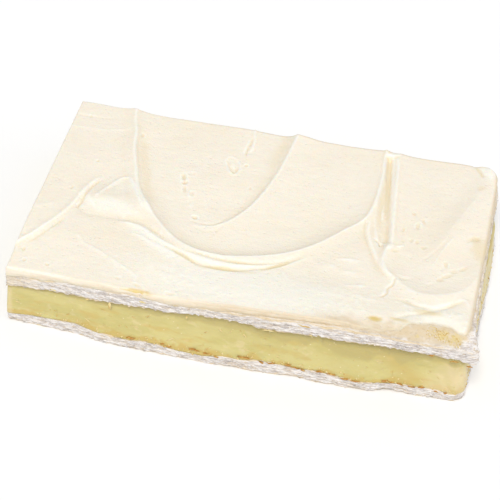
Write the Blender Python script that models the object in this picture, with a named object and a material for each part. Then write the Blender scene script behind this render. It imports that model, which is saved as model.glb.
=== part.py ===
"""Mille feuille slice: a slab of set custard between two sheets of puff pastry, under spread icing.

The slice lies flat on its base sheet.  X runs along its length, -Y faces the front cut, +Z is up.
Sizes are in millimetres and become metres where the meshes are made.
"""

from dataclasses import dataclass

import bmesh
import bpy
import numpy as np

MM = 0.001

# Driving dimensions
LEFT = -65.0  # knife cut at the left end
RIGHT = 66.0  # mean line of the right end
FRONT = -39.7  # corners of the front cut
BACK = 39.7  # back cut
FRONT_BOW = 2.4  # how far the front cut stands out at its middle
GAP = 0.3  # clearance between one layer and the next
FRONT_BAND = 22.0  # depth behind the front cut in which the layers follow its profile
LEVEL = 22.0  # mean height of the icing
PASTRY_LEVEL = 19.0  # mean height of the top sheet under the icing
THINNEST_ICING = 1.2

# Mesh density
COLUMNS = 22
ROWS = 13
FINE_CUTS = 2  # further cuts in each face of the icing's top

# Heights along the front cut, as (x, z)
BASE_PROFILE = ((-65, 3.3), (-46, 4.5), (-28, 3.2), (-8, 3.2), (12, 4.6), (26, 4.5), (44, 3.4), (67, 2.6))
CUSTARD_PROFILE = ((-65, 13.5), (-40, 15.1), (-10, 16.8), (14, 16.6), (38, 17.2), (69, 14.2))
PASTRY_PROFILE = ((-65, 17.1), (-40, 19.6), (-18, 19.6), (18, 21.1), (36, 21.1), (69, 19.1))
ICING_PROFILE = ((-65, 20.5), (-50, 21.1), (-37, 21.7), (-23, 21.2), (-9, 22.0), (5, 22.6), (20, 23.0), (66, 22.4))

# Ends of the layers, as (y, x)
ICING_END = ((-40, 64.6), (0, 64.7), (12, 65.4), (28, 66.1), (40, 64.8))
SHEET_END = ((-43, 68.4), (-34, 67.6), (-16, 65.6), (10, 65.8), (30, 66.4), (40, 65.4))
CUSTARD_END = ((-40, 64.8), (-14, 65.2), (8, 67.8), (18, 68.2), (30, 66.2), (40, 65.2))
BASE_END = ((-40, 65.2), (-26, 66.0), (-10, 67.6), (2, 68.4), (28, 68.4), (40, 66.4))

# Top edge of the icing set back from the front cut, as (x, depth)
ICING_SETBACK = ((-65, 0.7), (16, 0.8), (34, 2.2), (46, 3.6), (60, 5.0), (66, 4.2))


def eased(value, knots):
    """Smooth rise and fall through a list of (place, height) knots."""
    places = np.array([knot[0] for knot in knots], dtype=float)
    heights = np.array([knot[1] for knot in knots], dtype=float)
    span = np.clip(np.searchsorted(places, value) - 1, 0, len(places) - 2)
    along = (value - places[span]) / (places[span + 1] - places[span])
    return heights[span] + (heights[span + 1] - heights[span]) * smooth(along)


def smooth(value):
    """Ease from 0 to 1 as the value goes from 0 to 1."""
    clipped = np.clip(value, 0.0, 1.0)
    return clipped * clipped * (3.0 - 2.0 * clipped)


def through(points, steps=6):
    """Close points on the smooth curve through a few hand-placed ones."""
    path = np.array(points, dtype=float)
    ends = np.vstack([2 * path[0] - path[1], path, 2 * path[-1] - path[-2]])
    pieces = []
    for before, start, stop, after in zip(ends, ends[1:], ends[2:], ends[3:]):
        t = np.linspace(0.0, 1.0, steps, endpoint=False)[:, None]
        pieces.append(
            0.5 * (2 * start + (stop - before) * t + (2 * before - 5 * start + 4 * stop - after) * t**2
                   + (3 * start - before - 3 * stop + after) * t**3)
        )  # fmt: skip
    return np.vstack(pieces + [path[-1:]])


@dataclass(frozen=True)
class Stroke:
    """One pass of the palette knife: a crest along a path, with a scooped floor to the left of it."""

    path: tuple
    crest: float  # height of the crest, or depth if it is a groove
    steep: float  # half width of the crest on its left
    gentle: float  # half width of the crest on its right
    scoop: float = 0.0  # depth of the floor
    reach: float = 20.0  # distance in which the floor comes up again
    fade_in: float = 0.0  # length in which the stroke starts
    fade_out: float = 0.0  # length in which it ends

    def relief(self, x, y):
        """Height that the stroke adds at each point."""
        curve = through(self.path)
        start, run = curve[:-1], np.diff(curve, axis=0)
        length = np.hypot(run[:, 0], run[:, 1])
        travelled = np.concatenate([[0.0], np.cumsum(length)])
        to_point = np.stack([x, y], axis=-1)[:, None, :] - start[None, :, :]
        along = np.clip((to_point * run).sum(-1) / length**2, 0.0, 1.0)
        offset = to_point - along[..., None] * run
        distance = np.hypot(offset[..., 0], offset[..., 1])
        nearest = distance.argmin(axis=1)
        row = np.arange(len(nearest))
        side = run[nearest, 0] * offset[row, nearest, 1] - run[nearest, 1] * offset[row, nearest, 0]
        left = np.sign(side) * distance[row, nearest]
        gone = travelled[nearest] + along[row, nearest] * length[nearest]
        strength = np.ones_like(gone)
        if self.fade_in:
            strength *= smooth(gone / self.fade_in)
        if self.fade_out:
            strength *= smooth((travelled[-1] - gone) / self.fade_out)
        width = np.where(left > 0, self.steep, self.gentle)
        ridge = self.crest * np.exp(-((left / width) ** 2))
        floor = self.scoop * smooth(left / (1.4 * self.steep)) * np.exp(-((left / self.reach) ** 2))
        return strength * (ridge - floor)


STROKES = (
    # the long sweep: down the left, round the front and up towards the back
    Stroke(((-48, 44), (-45, 29), (-43, 18), (-38, 5), (-28, -11), (-15, -20.5), (-2, -21), (10, -16),
            (21, -6), (29, 5), (31.5, 16), (31, 40)),
           crest=0.9, steep=2.4, gentle=4.5, scoop=1.2, reach=17.0),
    # the fold pushed up outside it
    Stroke(((-46, -12), (-36, -12), (-28, -15), (-18, -20.5), (-8, -26), (2, -25.4), (10, -21), (18, -14)),
           crest=0.5, steep=2.2, gentle=2.0, fade_in=8.0, fade_out=9.0),
    # the hook inside the sweep
    Stroke(((-19, -8.4), (-13, -9), (-8, -4.6), (-4, 2.4), (-1, 11), (1.6, 24), (3.2, 36), (4, 44)),
           crest=1.2, steep=2.2, gentle=5.5, scoop=0.6, reach=9.0, fade_in=16.0),
    # the groove beside the sweep's right arm
    Stroke(((33.6, 36), (34, 22), (34.6, 10), (35.6, -2)), crest=-1.9, steep=2.0, gentle=2.0, fade_in=4.0, fade_out=5.0),
    # the short scoop at the right, down from the back and round along the front
    Stroke(((35.6, 38), (36.4, 24), (37.4, 10), (38, -4), (38, -12), (42, -20.5), (50, -24.6), (58, -23.2), (63, -18)),
           crest=1.0, steep=2.0, gentle=2.6, scoop=0.9, reach=15.0, fade_in=3.0, fade_out=5.0),
    # the fold in front of it
    Stroke(((44, -35), (50, -30), (57, -25.6), (63, -21)), crest=-0.9, steep=1.6, gentle=1.8, fade_in=5.0),
    # the raised rim at the right end
    Stroke(((63, -16), (63, 4), (61.4, 18), (62.6, 40)), crest=0.9, steep=4.0, gentle=4.0, fade_in=8.0),
    # the ridge across the left end, running up to the sweep
    Stroke(((-68, -31), (-60.6, -21.7), (-54.6, -11.6), (-52.4, -4), (-49, 4)),
           crest=1.1, steep=4.5, gentle=1.5, fade_out=5.0),
    # the tongue of icing folded over against the sweep
    Stroke(((-52, -8), (-47, -6), (-41, -3.6), (-37, -4)), crest=0.9, steep=4.6, gentle=3.4, fade_in=5.0, fade_out=6.0),
)  # fmt: skip


def front_line(x):
    """Where the front cut runs: bowed out at its middle."""
    return FRONT - FRONT_BOW * (1.0 - (x / LEFT) ** 2)


def follow_front(x, y, inside, profile):
    """A height that is level inside the slice and follows a profile at the front cut."""
    near = smooth(1.0 - (y - front_line(x)) / FRONT_BAND)
    return inside + (eased(x, profile) - inside) * near


def base_top(x, y):
    """Top of the base sheet."""
    return follow_front(x, y, 3.8 + 0.3 * np.sin(x / 9.0) * np.cos(y / 7.0), BASE_PROFILE)


def custard_top(x, y):
    """Top of the custard, where the top sheet lies on it."""
    return follow_front(x, y, 15.6 + 0.3 * np.sin(x / 11.0 + 1.0) * np.cos(y / 8.0), CUSTARD_PROFILE)


def pastry_top(x, y):
    """Top of the top sheet, under the icing."""
    return follow_front(x, y, PASTRY_LEVEL + 0.2 * np.sin(x / 10.0) * np.cos(y / 9.0), PASTRY_PROFILE)


def icing_top(x, y):
    """Top of the icing, with every stroke of the knife in it."""
    height = follow_front(x, y, LEVEL, ICING_PROFILE)
    for stroke in STROKES:
        height = height + stroke.relief(x, y)
    return np.maximum(height, pastry_top(x, y) + GAP + THINNEST_ICING)


@dataclass(frozen=True)
class Layer:
    """One layer of the slice: its ends, corners, how far its side leans in, and its two faces."""

    name: str
    end: tuple  # right end, as (y, x)
    corners: tuple  # radii at the front right and the back right
    insets: tuple  # how far each ring of the side lies in from the outline, bottom to top
    bottom: object
    top: object
    colour: tuple
    roughness: float
    setback: tuple = ()  # further inset of the top ring at the front, as (x, depth)


def soften_corner(x, y, centre, radius, towards):
    """Turn the square corner beyond a centre into a round one."""
    across = np.clip((x - centre[0]) / radius, 0.0, 1.0)
    out = np.clip((y - centre[1]) * towards / radius, 0.0, 1.0)
    both = (across > 0) & (out > 0)
    round_x = centre[0] + radius * across * np.sqrt(1.0 - out**2 / 2.0)
    round_y = centre[1] + towards * radius * out * np.sqrt(1.0 - across**2 / 2.0)
    return np.where(both, round_x, x), np.where(both, round_y, y)


def plan(layer, u, v, w):
    """Place on the layer's outline grid, with u along, v across and w up, each from 0 to 1."""
    inset = np.interp(w, np.linspace(0.0, 1.0, len(layer.insets)), layer.insets)
    x_guess = LEFT + (RIGHT - LEFT) * u
    y_guess = FRONT + (BACK - FRONT) * v
    right = eased(y_guess, layer.end) - inset
    left = LEFT + inset
    x = left + (right - left) * u
    front = front_line(x) + inset
    if layer.setback:
        front = front + eased(x_guess, layer.setback) * w
    back = BACK - inset
    y = front + (back - front) * v
    front_radius, back_radius = layer.corners
    x, y = soften_corner(x, y, (right - front_radius, front + front_radius), front_radius, -1.0)
    return soften_corner(x, y, (right - back_radius, back - back_radius), back_radius, 1.0)


def cut_along(mesh, edges, axis, pieces):
    """Cut the edges that run along an axis into equal pieces."""
    running = [edge for edge in edges if abs(edge.verts[0].co[axis] - edge.verts[1].co[axis]) > 1e-6]
    bmesh.ops.subdivide_edges(mesh, edges=running, cuts=pieces - 1, use_grid_fill=True)


def unit_block(storeys, fine_top):
    """A unit cube cut into columns, rows and storeys, with its top cut finer if asked."""
    mesh = bmesh.new()
    bmesh.ops.create_cube(mesh, size=1.0)
    bmesh.ops.translate(mesh, verts=mesh.verts, vec=(0.5, 0.5, 0.5))
    for axis, pieces in enumerate((COLUMNS, ROWS, storeys)):
        cut_along(mesh, mesh.edges, axis, pieces)
    if fine_top:
        top = {edge for face in mesh.faces if face.calc_center_median().z > 0.9999 for edge in face.edges}
        bmesh.ops.subdivide_edges(mesh, edges=sorted(top, key=lambda edge: edge.index), cuts=FINE_CUTS,
                                  use_grid_fill=True)  # fmt: skip
    return mesh


def flatten_bottom(mesh):
    """Join the faces of a level bottom into one."""
    level = [face for face in mesh.faces if face.calc_center_median().z < 1e-6]
    bmesh.ops.dissolve_faces(mesh, faces=level)


def shape(mesh, layer):
    """Move every point of a unit block to its place in the layer."""
    unit = np.array([vert.co[:] for vert in mesh.verts])
    u, v, w = np.clip(unit, 0.0, 1.0).T
    x, y = plan(layer, u, v, w)
    low = layer.bottom(x, y)
    z = low + (layer.top(x, y) - low) * w
    for vert, place in zip(mesh.verts, np.stack([x, y, z], axis=1) * MM):
        vert.co = place
    bmesh.ops.recalc_face_normals(mesh, faces=mesh.faces)


def material(name, colour, roughness):
    """A plain finish."""
    finish = bpy.data.materials.new(name)
    finish.use_nodes = True
    shader = finish.node_tree.nodes["Principled BSDF"]
    shader.inputs["Base Color"].default_value = (*colour, 1.0)
    shader.inputs["Roughness"].default_value = roughness
    shader.inputs["Metallic"].default_value = 0.0
    return finish


def build(layer, collection):
    """Make one layer as an object."""
    on_table = layer.name == "pastry_base"
    mesh = unit_block(len(layer.insets) - 1, fine_top=layer.name == "icing")
    if on_table:
        flatten_bottom(mesh)
    shape(mesh, layer)
    data = bpy.data.meshes.new(layer.name)
    mesh.to_mesh(data)
    mesh.free()
    data.shade_smooth()
    data.set_sharp_from_angle(angle=np.radians(40.0))
    data.materials.append(material(layer.name, layer.colour, layer.roughness))
    piece = bpy.data.objects.new(layer.name, data)
    collection.objects.link(piece)
    return piece


LAYERS = (
    Layer("pastry_base", BASE_END, (6.0, 3.0), (0.5, 0.0, 0.3), lambda x, y: np.zeros_like(x), base_top,
          (0.72, 0.62, 0.48), 0.8),
    Layer("custard", CUSTARD_END, (6.0, 4.0), (0.8, 0.6, 0.9, 1.1), lambda x, y: base_top(x, y) + GAP,
          lambda x, y: custard_top(x, y), (0.75, 0.66, 0.27), 0.4),
    Layer("pastry_top", SHEET_END, (2.0, 3.0), (0.5, 0.0, 0.2), lambda x, y: custard_top(x, y) + GAP, pastry_top,
          (0.76, 0.68, 0.58), 0.8),
    Layer("icing", ICING_END, (2.0, 4.0), (0.4, 0.2, 0.9), lambda x, y: pastry_top(x, y) + GAP, icing_top,
          (0.93, 0.87, 0.74), 0.5, ICING_SETBACK),
)  # fmt: skip


def centre(pieces):
    """Put the origin at the middle of the footprint, on the table."""
    points = np.vstack([[vert.co[:] for vert in piece.data.vertices] for piece in pieces])
    low, high = points.min(axis=0), points.max(axis=0)
    shift = ((low[0] + high[0]) / 2.0, (low[1] + high[1]) / 2.0, low[2])
    for piece in pieces:
        for vert in piece.data.vertices:
            vert.co.x -= shift[0]
            vert.co.y -= shift[1]
            vert.co.z -= shift[2]


def main():
    """Clear the scene and build the slice."""
    for thing in list(bpy.data.objects):
        bpy.data.objects.remove(thing)
    collection = bpy.data.collections.new("mille_feuille_slice")
    bpy.context.scene.collection.children.link(collection)
    centre([build(layer, collection) for layer in LAYERS])


main()
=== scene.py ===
"""Mille feuille slice: flaky sheets, set custard and icing spread with a palette knife.

The plan is drawn in millimetres, in the baker's own axes: X along the slice, -Y towards the front cut, Z up
from the table. `place` moves it into the frame, in metres.
"""

from __future__ import annotations

import logging
import math
from collections.abc import Callable, Iterable
from dataclasses import dataclass, field
from enum import Enum

import bpy
import numpy as np
from mathutils import Matrix, Vector


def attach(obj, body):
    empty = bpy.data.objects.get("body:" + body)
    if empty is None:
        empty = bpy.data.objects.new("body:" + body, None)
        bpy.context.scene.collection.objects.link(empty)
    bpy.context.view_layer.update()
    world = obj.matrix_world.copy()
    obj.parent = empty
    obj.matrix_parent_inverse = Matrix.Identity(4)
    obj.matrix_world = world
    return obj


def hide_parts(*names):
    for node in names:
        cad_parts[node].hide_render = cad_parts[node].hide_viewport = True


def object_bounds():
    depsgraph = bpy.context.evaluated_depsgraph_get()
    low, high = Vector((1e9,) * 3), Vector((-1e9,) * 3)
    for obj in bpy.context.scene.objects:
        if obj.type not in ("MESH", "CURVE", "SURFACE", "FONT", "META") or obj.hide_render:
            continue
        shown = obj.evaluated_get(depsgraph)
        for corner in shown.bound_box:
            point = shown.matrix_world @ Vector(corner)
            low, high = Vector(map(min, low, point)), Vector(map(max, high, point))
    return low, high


log = logging.getLogger("mille_feuille")

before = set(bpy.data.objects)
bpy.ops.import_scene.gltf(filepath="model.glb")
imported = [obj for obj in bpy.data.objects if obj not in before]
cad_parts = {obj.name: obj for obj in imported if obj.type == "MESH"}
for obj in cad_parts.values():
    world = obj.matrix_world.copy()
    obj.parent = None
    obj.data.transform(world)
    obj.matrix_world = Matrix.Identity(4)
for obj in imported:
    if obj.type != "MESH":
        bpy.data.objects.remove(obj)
CAD_LOW, CAD_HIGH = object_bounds()

Array = np.ndarray
Knots = tuple[tuple[float, float], ...]
Triple = tuple[float, float, float]
Colour = Triple
Surface = Callable[[Array, Array], Array]

MM = 0.001
LIFT = 0.02  # gap that keeps the slice just off the table

# The plan of the slice
LEFT = -65.0
RIGHT = 66.0
FRONT = -39.7
BACK = 39.7
FRONT_BOW = 2.4
PLAN_SHIFT = (LEFT - CAD_LOW.x / MM, FRONT - FRONT_BOW - CAD_LOW.y / MM)
FRONT_BAND = 12.0  # depth behind the front cut in which the layers follow its profile

# Heights along the front cut, as (x, z)
BASE_PROFILE: Knots = (
    (-66, 3.2), (-58, 4.0), (-46, 4.6), (-37, 3.3), (-30, 3.5), (-22, 4.1), (-14, 3.2), (-8, 3.0), (-2, 3.6),
    (4, 3.9), (9, 4.7), (18, 4.2), (27, 4.5), (36, 3.4), (46, 3.8), (56, 3.5), (66, 2.3), (70, 2.2),
)
CUSTARD_PROFILE: Knots = (
    (-66, 12.9), (-60, 13.8), (-52, 14.8), (-38, 14.8), (-24, 15.7), (-9, 16.8), (-2, 17.2), (12, 16.5),
    (26, 17.1), (33, 16.5), (40, 17.2), (54, 16.6), (62, 15.6), (70, 13.9),
)
SHEET_PROFILE: Knots = (
    (-66, 17.4), (-58, 18.2), (-45, 19.4), (-30, 19.8), (-16, 19.5), (-2, 20.2), (12, 20.7), (20, 21.3),
    (33, 21.1), (47, 20.5), (58, 19.6), (70, 19.0),
)
ICING_PROFILE: Knots = (
    (-65, 20.5), (-50, 21.1), (-37, 21.7), (-23, 21.3), (-9, 22.0), (5, 22.6), (20, 23.0), (40, 22.6),
    (66, 22.2),
)

# Right ends of the layers, as (y, x)
ICING_END: Knots = (
    (-40, 64.4), (-34, 65.2), (-22, 65.5), (-10, 65.7), (1, 65.9), (12, 66.0), (28, 66.1), (36, 65.8),
    (42, 64.6),
)
SHEET_END: Knots = (
    (-43, 67.4), (-40.2, 68.7), (-38.6, 68.9), (-36, 67.8), (-33, 66.9), (-28, 66.5), (-10, 66.5), (10, 66.5),
    (30, 66.8), (40, 65.8),
)
CUSTARD_END: Knots = ((-40, 66.4), (-26, 66.6), (-10, 67.0), (8, 67.9), (18, 68.0), (30, 66.4), (40, 65.2))
BASE_END: Knots = ((-40, 66.6), (-26, 67.0), (-10, 67.6), (2, 68.2), (28, 68.2), (40, 66.2))

# How far each layer stands forward of the front line or behind it, as (x, distance)
BASE_ADVANCE: Knots = (
    (-66, -0.1), (-54, -0.4), (-46, -0.3), (-34, 0.8), (-8, 0.6), (10, 0.5), (18, 0.1), (28, 0.7), (37, 1.1),
    (48, -0.3), (56, 0.0), (68, 0.0),
)
CUSTARD_ADVANCE: Knots = (
    (-66, -0.3), (-54, -0.6), (-46, -0.5), (-34, 0.3), (-8, 0.1), (10, 0.0), (18, -0.3), (28, 0.2), (37, 0.5),
    (48, -0.7), (56, -0.5), (68, -0.4),
)
SHEET_ADVANCE: Knots = ((-66, 0.0), (-20, 0.1), (30, 0.2), (46, 0.4), (60, 0.0), (70, 0.0))
ICING_SETBACK: Knots = (
    (-65, 0.1), (-10, 0.2), (4, 0.5), (14, 0.7), (24, 1.0), (32, 1.3), (40, 1.7), (45, 2.8), (49.5, 6.0),
    (55, 7.0), (59, 6.7), (62.5, 4.8), (66, 2.6),
)
CUSTARD_SETBACK: Knots = (
    (-66, 0.3), (-45, 0.8), (-34, 1.9), (-8, 2.1), (18, 2.0), (28, 3.0), (37, 3.2), (48, 2.0), (58, 1.2),
    (68, 0.4),
)

# Depth of the painted shadow band on the custard under the top sheet, as (x, depth)
CUSTARD_SHADOW_DEPTH: Knots = (
    (-66, 1.2), (-46, 1.9), (-20, 2.7), (0, 3.6), (20, 4.8), (36, 6.2), (48, 5.8), (60, 3.6), (66, 2.2),
    (70, 1.5),
)

# Rings of the top sheet's upper face, each so far in from its cut side
TOP_SHEET_INSETS = (0.15, 0.4, 0.8, 1.3, 1.9, 2.6, 3.4, 4.3, 5.3, 6.4, 7.6, 10.0, 20.0)

# Drops and slivers along the front cut, each an x, a height, half a width and half a thickness
FOOT_DROPS = (
    (-28.3, 4.1, 1.1, 0.34), (-19.0, 4.2, 0.6, 0.22), (-17.2, 3.9, 0.8, 0.30), (-10.5, 4.5, 0.9, 0.34),
    (-9.2, 4.1, 0.8, 0.14), (-6.7, 3.9, 0.5, 0.22), (-5.6, 3.8, 0.9, 0.14), (-3.4, 3.2, 0.7, 0.20),
    (4.6, 4.9, 2.2, 0.13), (9.6, 4.1, 0.7, 0.22), (12.2, 4.3, 1.0, 0.14), (16.9, 4.5, 0.8, 0.32),
    (19.2, 4.0, 1.4, 0.12), (21.3, 3.8, 0.6, 0.25), (26.1, 4.4, 1.1, 0.26), (29.4, 4.1, 1.3, 0.12),
    (33.3, 3.5, 1.2, 0.26), (36.2, 3.3, 1.4, 0.12), (44.2, 4.2, 1.1, 0.30), (46.2, 3.9, 0.9, 0.13),
    (48.6, 3.5, 0.8, 0.18), (51.6, 3.4, 1.1, 0.13), (54.5, 3.7, 0.9, 0.24), (58.8, 3.0, 0.6, 0.2),
    (61.4, 2.8, 0.5, 0.22),
)
SHEET_DROPS = ((56.0, 16.3, 0.6, 0.24), (62.4, 15.1, 1.3, 0.08), (66.6, 14.0, 0.8, 0.12))
SLIVERS = (
    (-34.6, 14.4, 0.36, 1.3), (-12.4, 15.9, 0.28, 0.5), (-51.2, 15.6, 1.0, 0.24), (-25.0, 18.2, 1.1, 0.22),
    (10.6, 16.5, 1.5, 0.14), (20.6, 20.4, 1.6, 0.18), (-41.3, 15.0, 0.5, 0.2), (22.6, 17.2, 0.4, 0.14),
)


def smooth(value: Array) -> Array:
    """Ease from 0 to 1 as the value goes from 0 to 1."""
    clipped = np.clip(value, 0.0, 1.0)
    return clipped * clipped * (3.0 - 2.0 * clipped)


def eased(value: Array, knots: Knots) -> Array:
    """Rise and fall smoothly through knots.

    Args:
        value: Places at which to read the height.
        knots: Pairs of place and height.

    Returns:
        The height at each place.
    """
    places, heights = (np.array(column, dtype=float) for column in zip(*knots))
    span = np.clip(np.searchsorted(places, value) - 1, 0, len(places) - 2)
    along = (value - places[span]) / (places[span + 1] - places[span])
    return heights[span] + (heights[span + 1] - heights[span]) * smooth(along)


def lattice(column: Array, row: Array | int, seed: int) -> Array:
    """Fixed pseudo-random numbers.

    Args:
        column: Whole numbers.
        row: Whole numbers.
        seed: Which set of numbers.

    Returns:
        A number from -1 to 1 for each place.
    """
    mixed = (column * 374761393 + row * 668265263 + seed * 974634777) & 0xFFFFFFFF
    mixed = ((mixed ^ (mixed >> 13)) * 1274126177) & 0xFFFFFFFF
    return ((mixed ^ (mixed >> 16)) & 0xFFFF) / 32767.5 - 1.0


def grain(x: Array, y: Array | float, seed: int) -> Array:
    """Smooth random relief with a feature size of 1.

    Args:
        x: Places.
        y: Places, or one place for all.
        seed: Which relief.

    Returns:
        Heights from -1 to 1.
    """
    column, row = np.floor(x).astype(np.int64), np.floor(y).astype(np.int64)
    across, up = smooth(x - column), smooth(y - row)
    low = lattice(column, row, seed) * (1 - across) + lattice(column + 1, row, seed) * across
    high = lattice(column, row + 1, seed) * (1 - across) + lattice(column + 1, row + 1, seed) * across
    return low * (1 - up) + high * up


def through(points: Knots, steps: int = 8) -> Array:
    """Close points on the smooth curve through a few given ones.

    Args:
        points: Places on the curve.
        steps: Points made for each span.

    Returns:
        The points of the curve, one a row.
    """
    path = np.array(points, dtype=float)
    ends = np.vstack([2 * path[0] - path[1], path, 2 * path[-1] - path[-2]])
    pieces = []
    for before, start, stop, after in zip(ends, ends[1:], ends[2:], ends[3:]):
        t = np.linspace(0.0, 1.0, steps, endpoint=False)[:, None]
        bend = 2 * before - 5 * start + 4 * stop - after
        twist = 3 * start - before - 3 * stop + after
        pieces.append(0.5 * (2 * start + (stop - before) * t + bend * t**2 + twist * t**3))
    return np.vstack([*pieces, path[-1:]])


def front_line(x: Array) -> Array:
    """Where the front cut runs: bowed out at its middle."""
    return FRONT - FRONT_BOW * (1.0 - (x / LEFT) ** 2)


def follow_front(x: Array, y: Array, inside: Array, profile: Knots, depth: float = FRONT_BAND) -> Array:
    """A height that is level inside the slice and follows a profile at the front cut.

    Args:
        x: Places along the slice.
        y: Places across it.
        inside: Height away from the front cut.
        profile: Height along the front cut.
        depth: Depth in which one becomes the other.

    Returns:
        The height at each place.
    """
    near = smooth(1.0 - (y - front_line(x)) / depth)
    return inside + (eased(x, profile) - inside) * near


def base_top(x: Array, y: Array) -> Array:
    """Top of the base sheet."""
    return follow_front(x, y, 3.8 + 0.4 * grain(x / 12.0, y / 12.0, 3), BASE_PROFILE)


def custard_top(x: Array, y: Array) -> Array:
    """Top of the custard, where the top sheet lies on it."""
    return follow_front(x, y, 15.6 + 0.5 * grain(x / 13.0, y / 13.0, 5), CUSTARD_PROFILE)


def sheet_top(x: Array, y: Array) -> Array:
    """Top of the top sheet: level under the icing, humped where it shows at the right front.

    Args:
        x: Places along the slice.
        y: Places across it.

    Returns:
        The height at each place.
    """
    height = follow_front(x, y, 19.2 + 0.3 * grain(x / 9.0, y / 9.0, 7), SHEET_PROFILE)
    behind = y - front_line(x)
    hump = 1.9 * smooth((x - 22.0) / 26.0) * np.exp(-(((behind - 7.0) / 4.2) ** 2))
    return height + hump


def table_level(x: Array, y: Array) -> Array:
    """Underside of the base sheet: on the table, with small lifts along the front cut.

    Args:
        x: Places along the slice.
        y: Places across it.

    Returns:
        The height at each place.
    """
    near = smooth(1.0 - (y - front_line(x)) / 5.0)
    lift = 0.75 * np.exp(-(((x - 44.4) / 3.1) ** 2)) + 0.45 * smooth((-58.0 - x) / 7.0)
    lift = lift + 0.12 * (1.0 + grain(x / 5.0, 0.0, 51))
    return LIFT + near * lift


@dataclass(frozen=True)
class Stroke:
    """One pass of the palette knife: a crest along a path, with a scooped floor to the left of it."""

    path: Knots
    crest: float  # height of the crest, or depth if it is a groove
    steep: float  # width of its left side
    gentle: float  # width of its right side
    fade: tuple[float, float] = (0.0, 0.0)  # lengths in which the stroke starts and ends
    point: float = 2.0  # 2 is a round crest, 1 a sharp one
    scoop: float = 0.0  # depth of the floor
    reach: float = 20.0  # distance in which the floor comes up again
    swell: Knots = ((0.0, 1.0), (1.0, 1.0))  # its strength, by share of its length
    left_spread: Knots = ((0.0, 1.0), (1.0, 1.0))  # how much wider its left side is, by share of its length
    right_spread: Knots = ((0.0, 1.0), (1.0, 1.0))  # the same for its right side

    def relief(self, x: Array, y: Array) -> Array:
        """Height that the stroke adds.

        Args:
            x: Places along the slice.
            y: Places across it.

        Returns:
            The added height at each place.
        """
        left, gone, total = self._walk(x, y)
        share = gone / total
        strength = np.interp(share, *zip(*self.swell))
        for travelled, fade in zip((gone, total - gone), self.fade):
            if fade:
                strength = strength * smooth(travelled / fade)
        inside = np.maximum(left, 0.0) / (self.steep * np.interp(share, *zip(*self.left_spread)))
        outside = np.maximum(-left, 0.0) / (self.gentle * np.interp(share, *zip(*self.right_spread)))
        if self.scoop:
            fall = 1.0 - np.exp(-inside)
            recover = np.exp(-((np.maximum(left, 0.0) / self.reach) ** 2))
            inner = self.crest * (1.0 - fall) - self.scoop * fall * recover
        else:
            inner = self.crest * np.exp(-(inside**self.point))
        outer = self.crest * np.exp(-(outside**self.point))
        return strength * np.where(left > 0, inner, outer)

    def _walk(self, x: Array, y: Array) -> tuple[Array, Array, float]:
        """Find the nearest place of the path.

        Args:
            x: Places along the slice.
            y: Places across it.

        Returns:
            The distance to the left of the path, the length travelled to there and the whole length.
        """
        curve = through(self.path)
        start, run = curve[:-1], np.diff(curve, axis=0)
        length = np.hypot(run[:, 0], run[:, 1])
        travelled = np.concatenate([[0.0], np.cumsum(length)])
        best, side, gone = np.full(x.shape, np.inf), np.zeros(x.shape), np.zeros(x.shape)
        for (start_x, start_y), (run_x, run_y), long, before in zip(start, run, length, travelled):
            along = np.clip(((x - start_x) * run_x + (y - start_y) * run_y) / long**2, 0.0, 1.0)
            off_x, off_y = x - start_x - along * run_x, y - start_y - along * run_y
            distance = np.hypot(off_x, off_y)
            nearer = distance < best
            best = np.where(nearer, distance, best)
            side = np.where(nearer, run_x * off_y - run_y * off_x, side)
            gone = np.where(nearer, before + along * long, gone)
        return np.sign(side) * best, gone, float(travelled[-1])


@dataclass(frozen=True)
class Dab:
    """A small mound or pit."""

    x: float
    y: float
    height: float
    wide: float
    deep: float
    turn: float = 0.0  # degrees
    rim: float = 0.0  # height of a ring round it

    def relief(self, x: Array, y: Array) -> Array:
        """Height that the dab adds at each place."""
        away = self._away(x, y)
        return self.height * np.exp(-(away**2)) + self.rim * np.exp(-(((np.sqrt(away) - 1.3) / 0.35) ** 2))

    def shade(self, x: Array, y: Array) -> Array:
        """How far inside the dab each place is: 1 in its middle, 0 outside."""
        return np.exp(-(self._away(x, y) ** 2))

    def _away(self, x: Array, y: Array) -> Array:
        """How far each place is from the middle.

        Args:
            x: Places along the slice.
            y: Places across it.

        Returns:
            The squared distance, 1 at the edge.
        """
        c, s = math.cos(math.radians(self.turn)), math.sin(math.radians(self.turn))
        along = ((x - self.x) * c + (y - self.y) * s) / self.wide
        across = ((y - self.y) * c - (x - self.x) * s) / self.deep
        return (along**2 + across**2) * (1.0 + 0.4 * grain(x / 1.1, y / 1.1, 17))


SWEEP: Knots = (
    (-48.6, 47), (-47.4, 38), (-46.2, 33), (-44.8, 28.6), (-43.2, 20), (-40.2, 10), (-37.6, 2.2),
    (-33.4, -4.8), (-28.6, -11), (-22.4, -17.2), (-15.2, -20.7), (-6.8, -21.4), (1.6, -19.5), (10, -15.8),
    (17.6, -10), (24.8, -1.2), (29.6, 5.4), (31.3, 13), (31.9, 24), (31.4, 35), (30.4, 47),
)

HOOK: Knots = (
    (-20, -8.6), (-16.4, -9.2), (-12.4, -8.2), (-8.4, -4.8), (-4, 2.3), (-1, 11.3), (1.2, 21), (2.6, 32),
    (4, 47),
)

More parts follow.
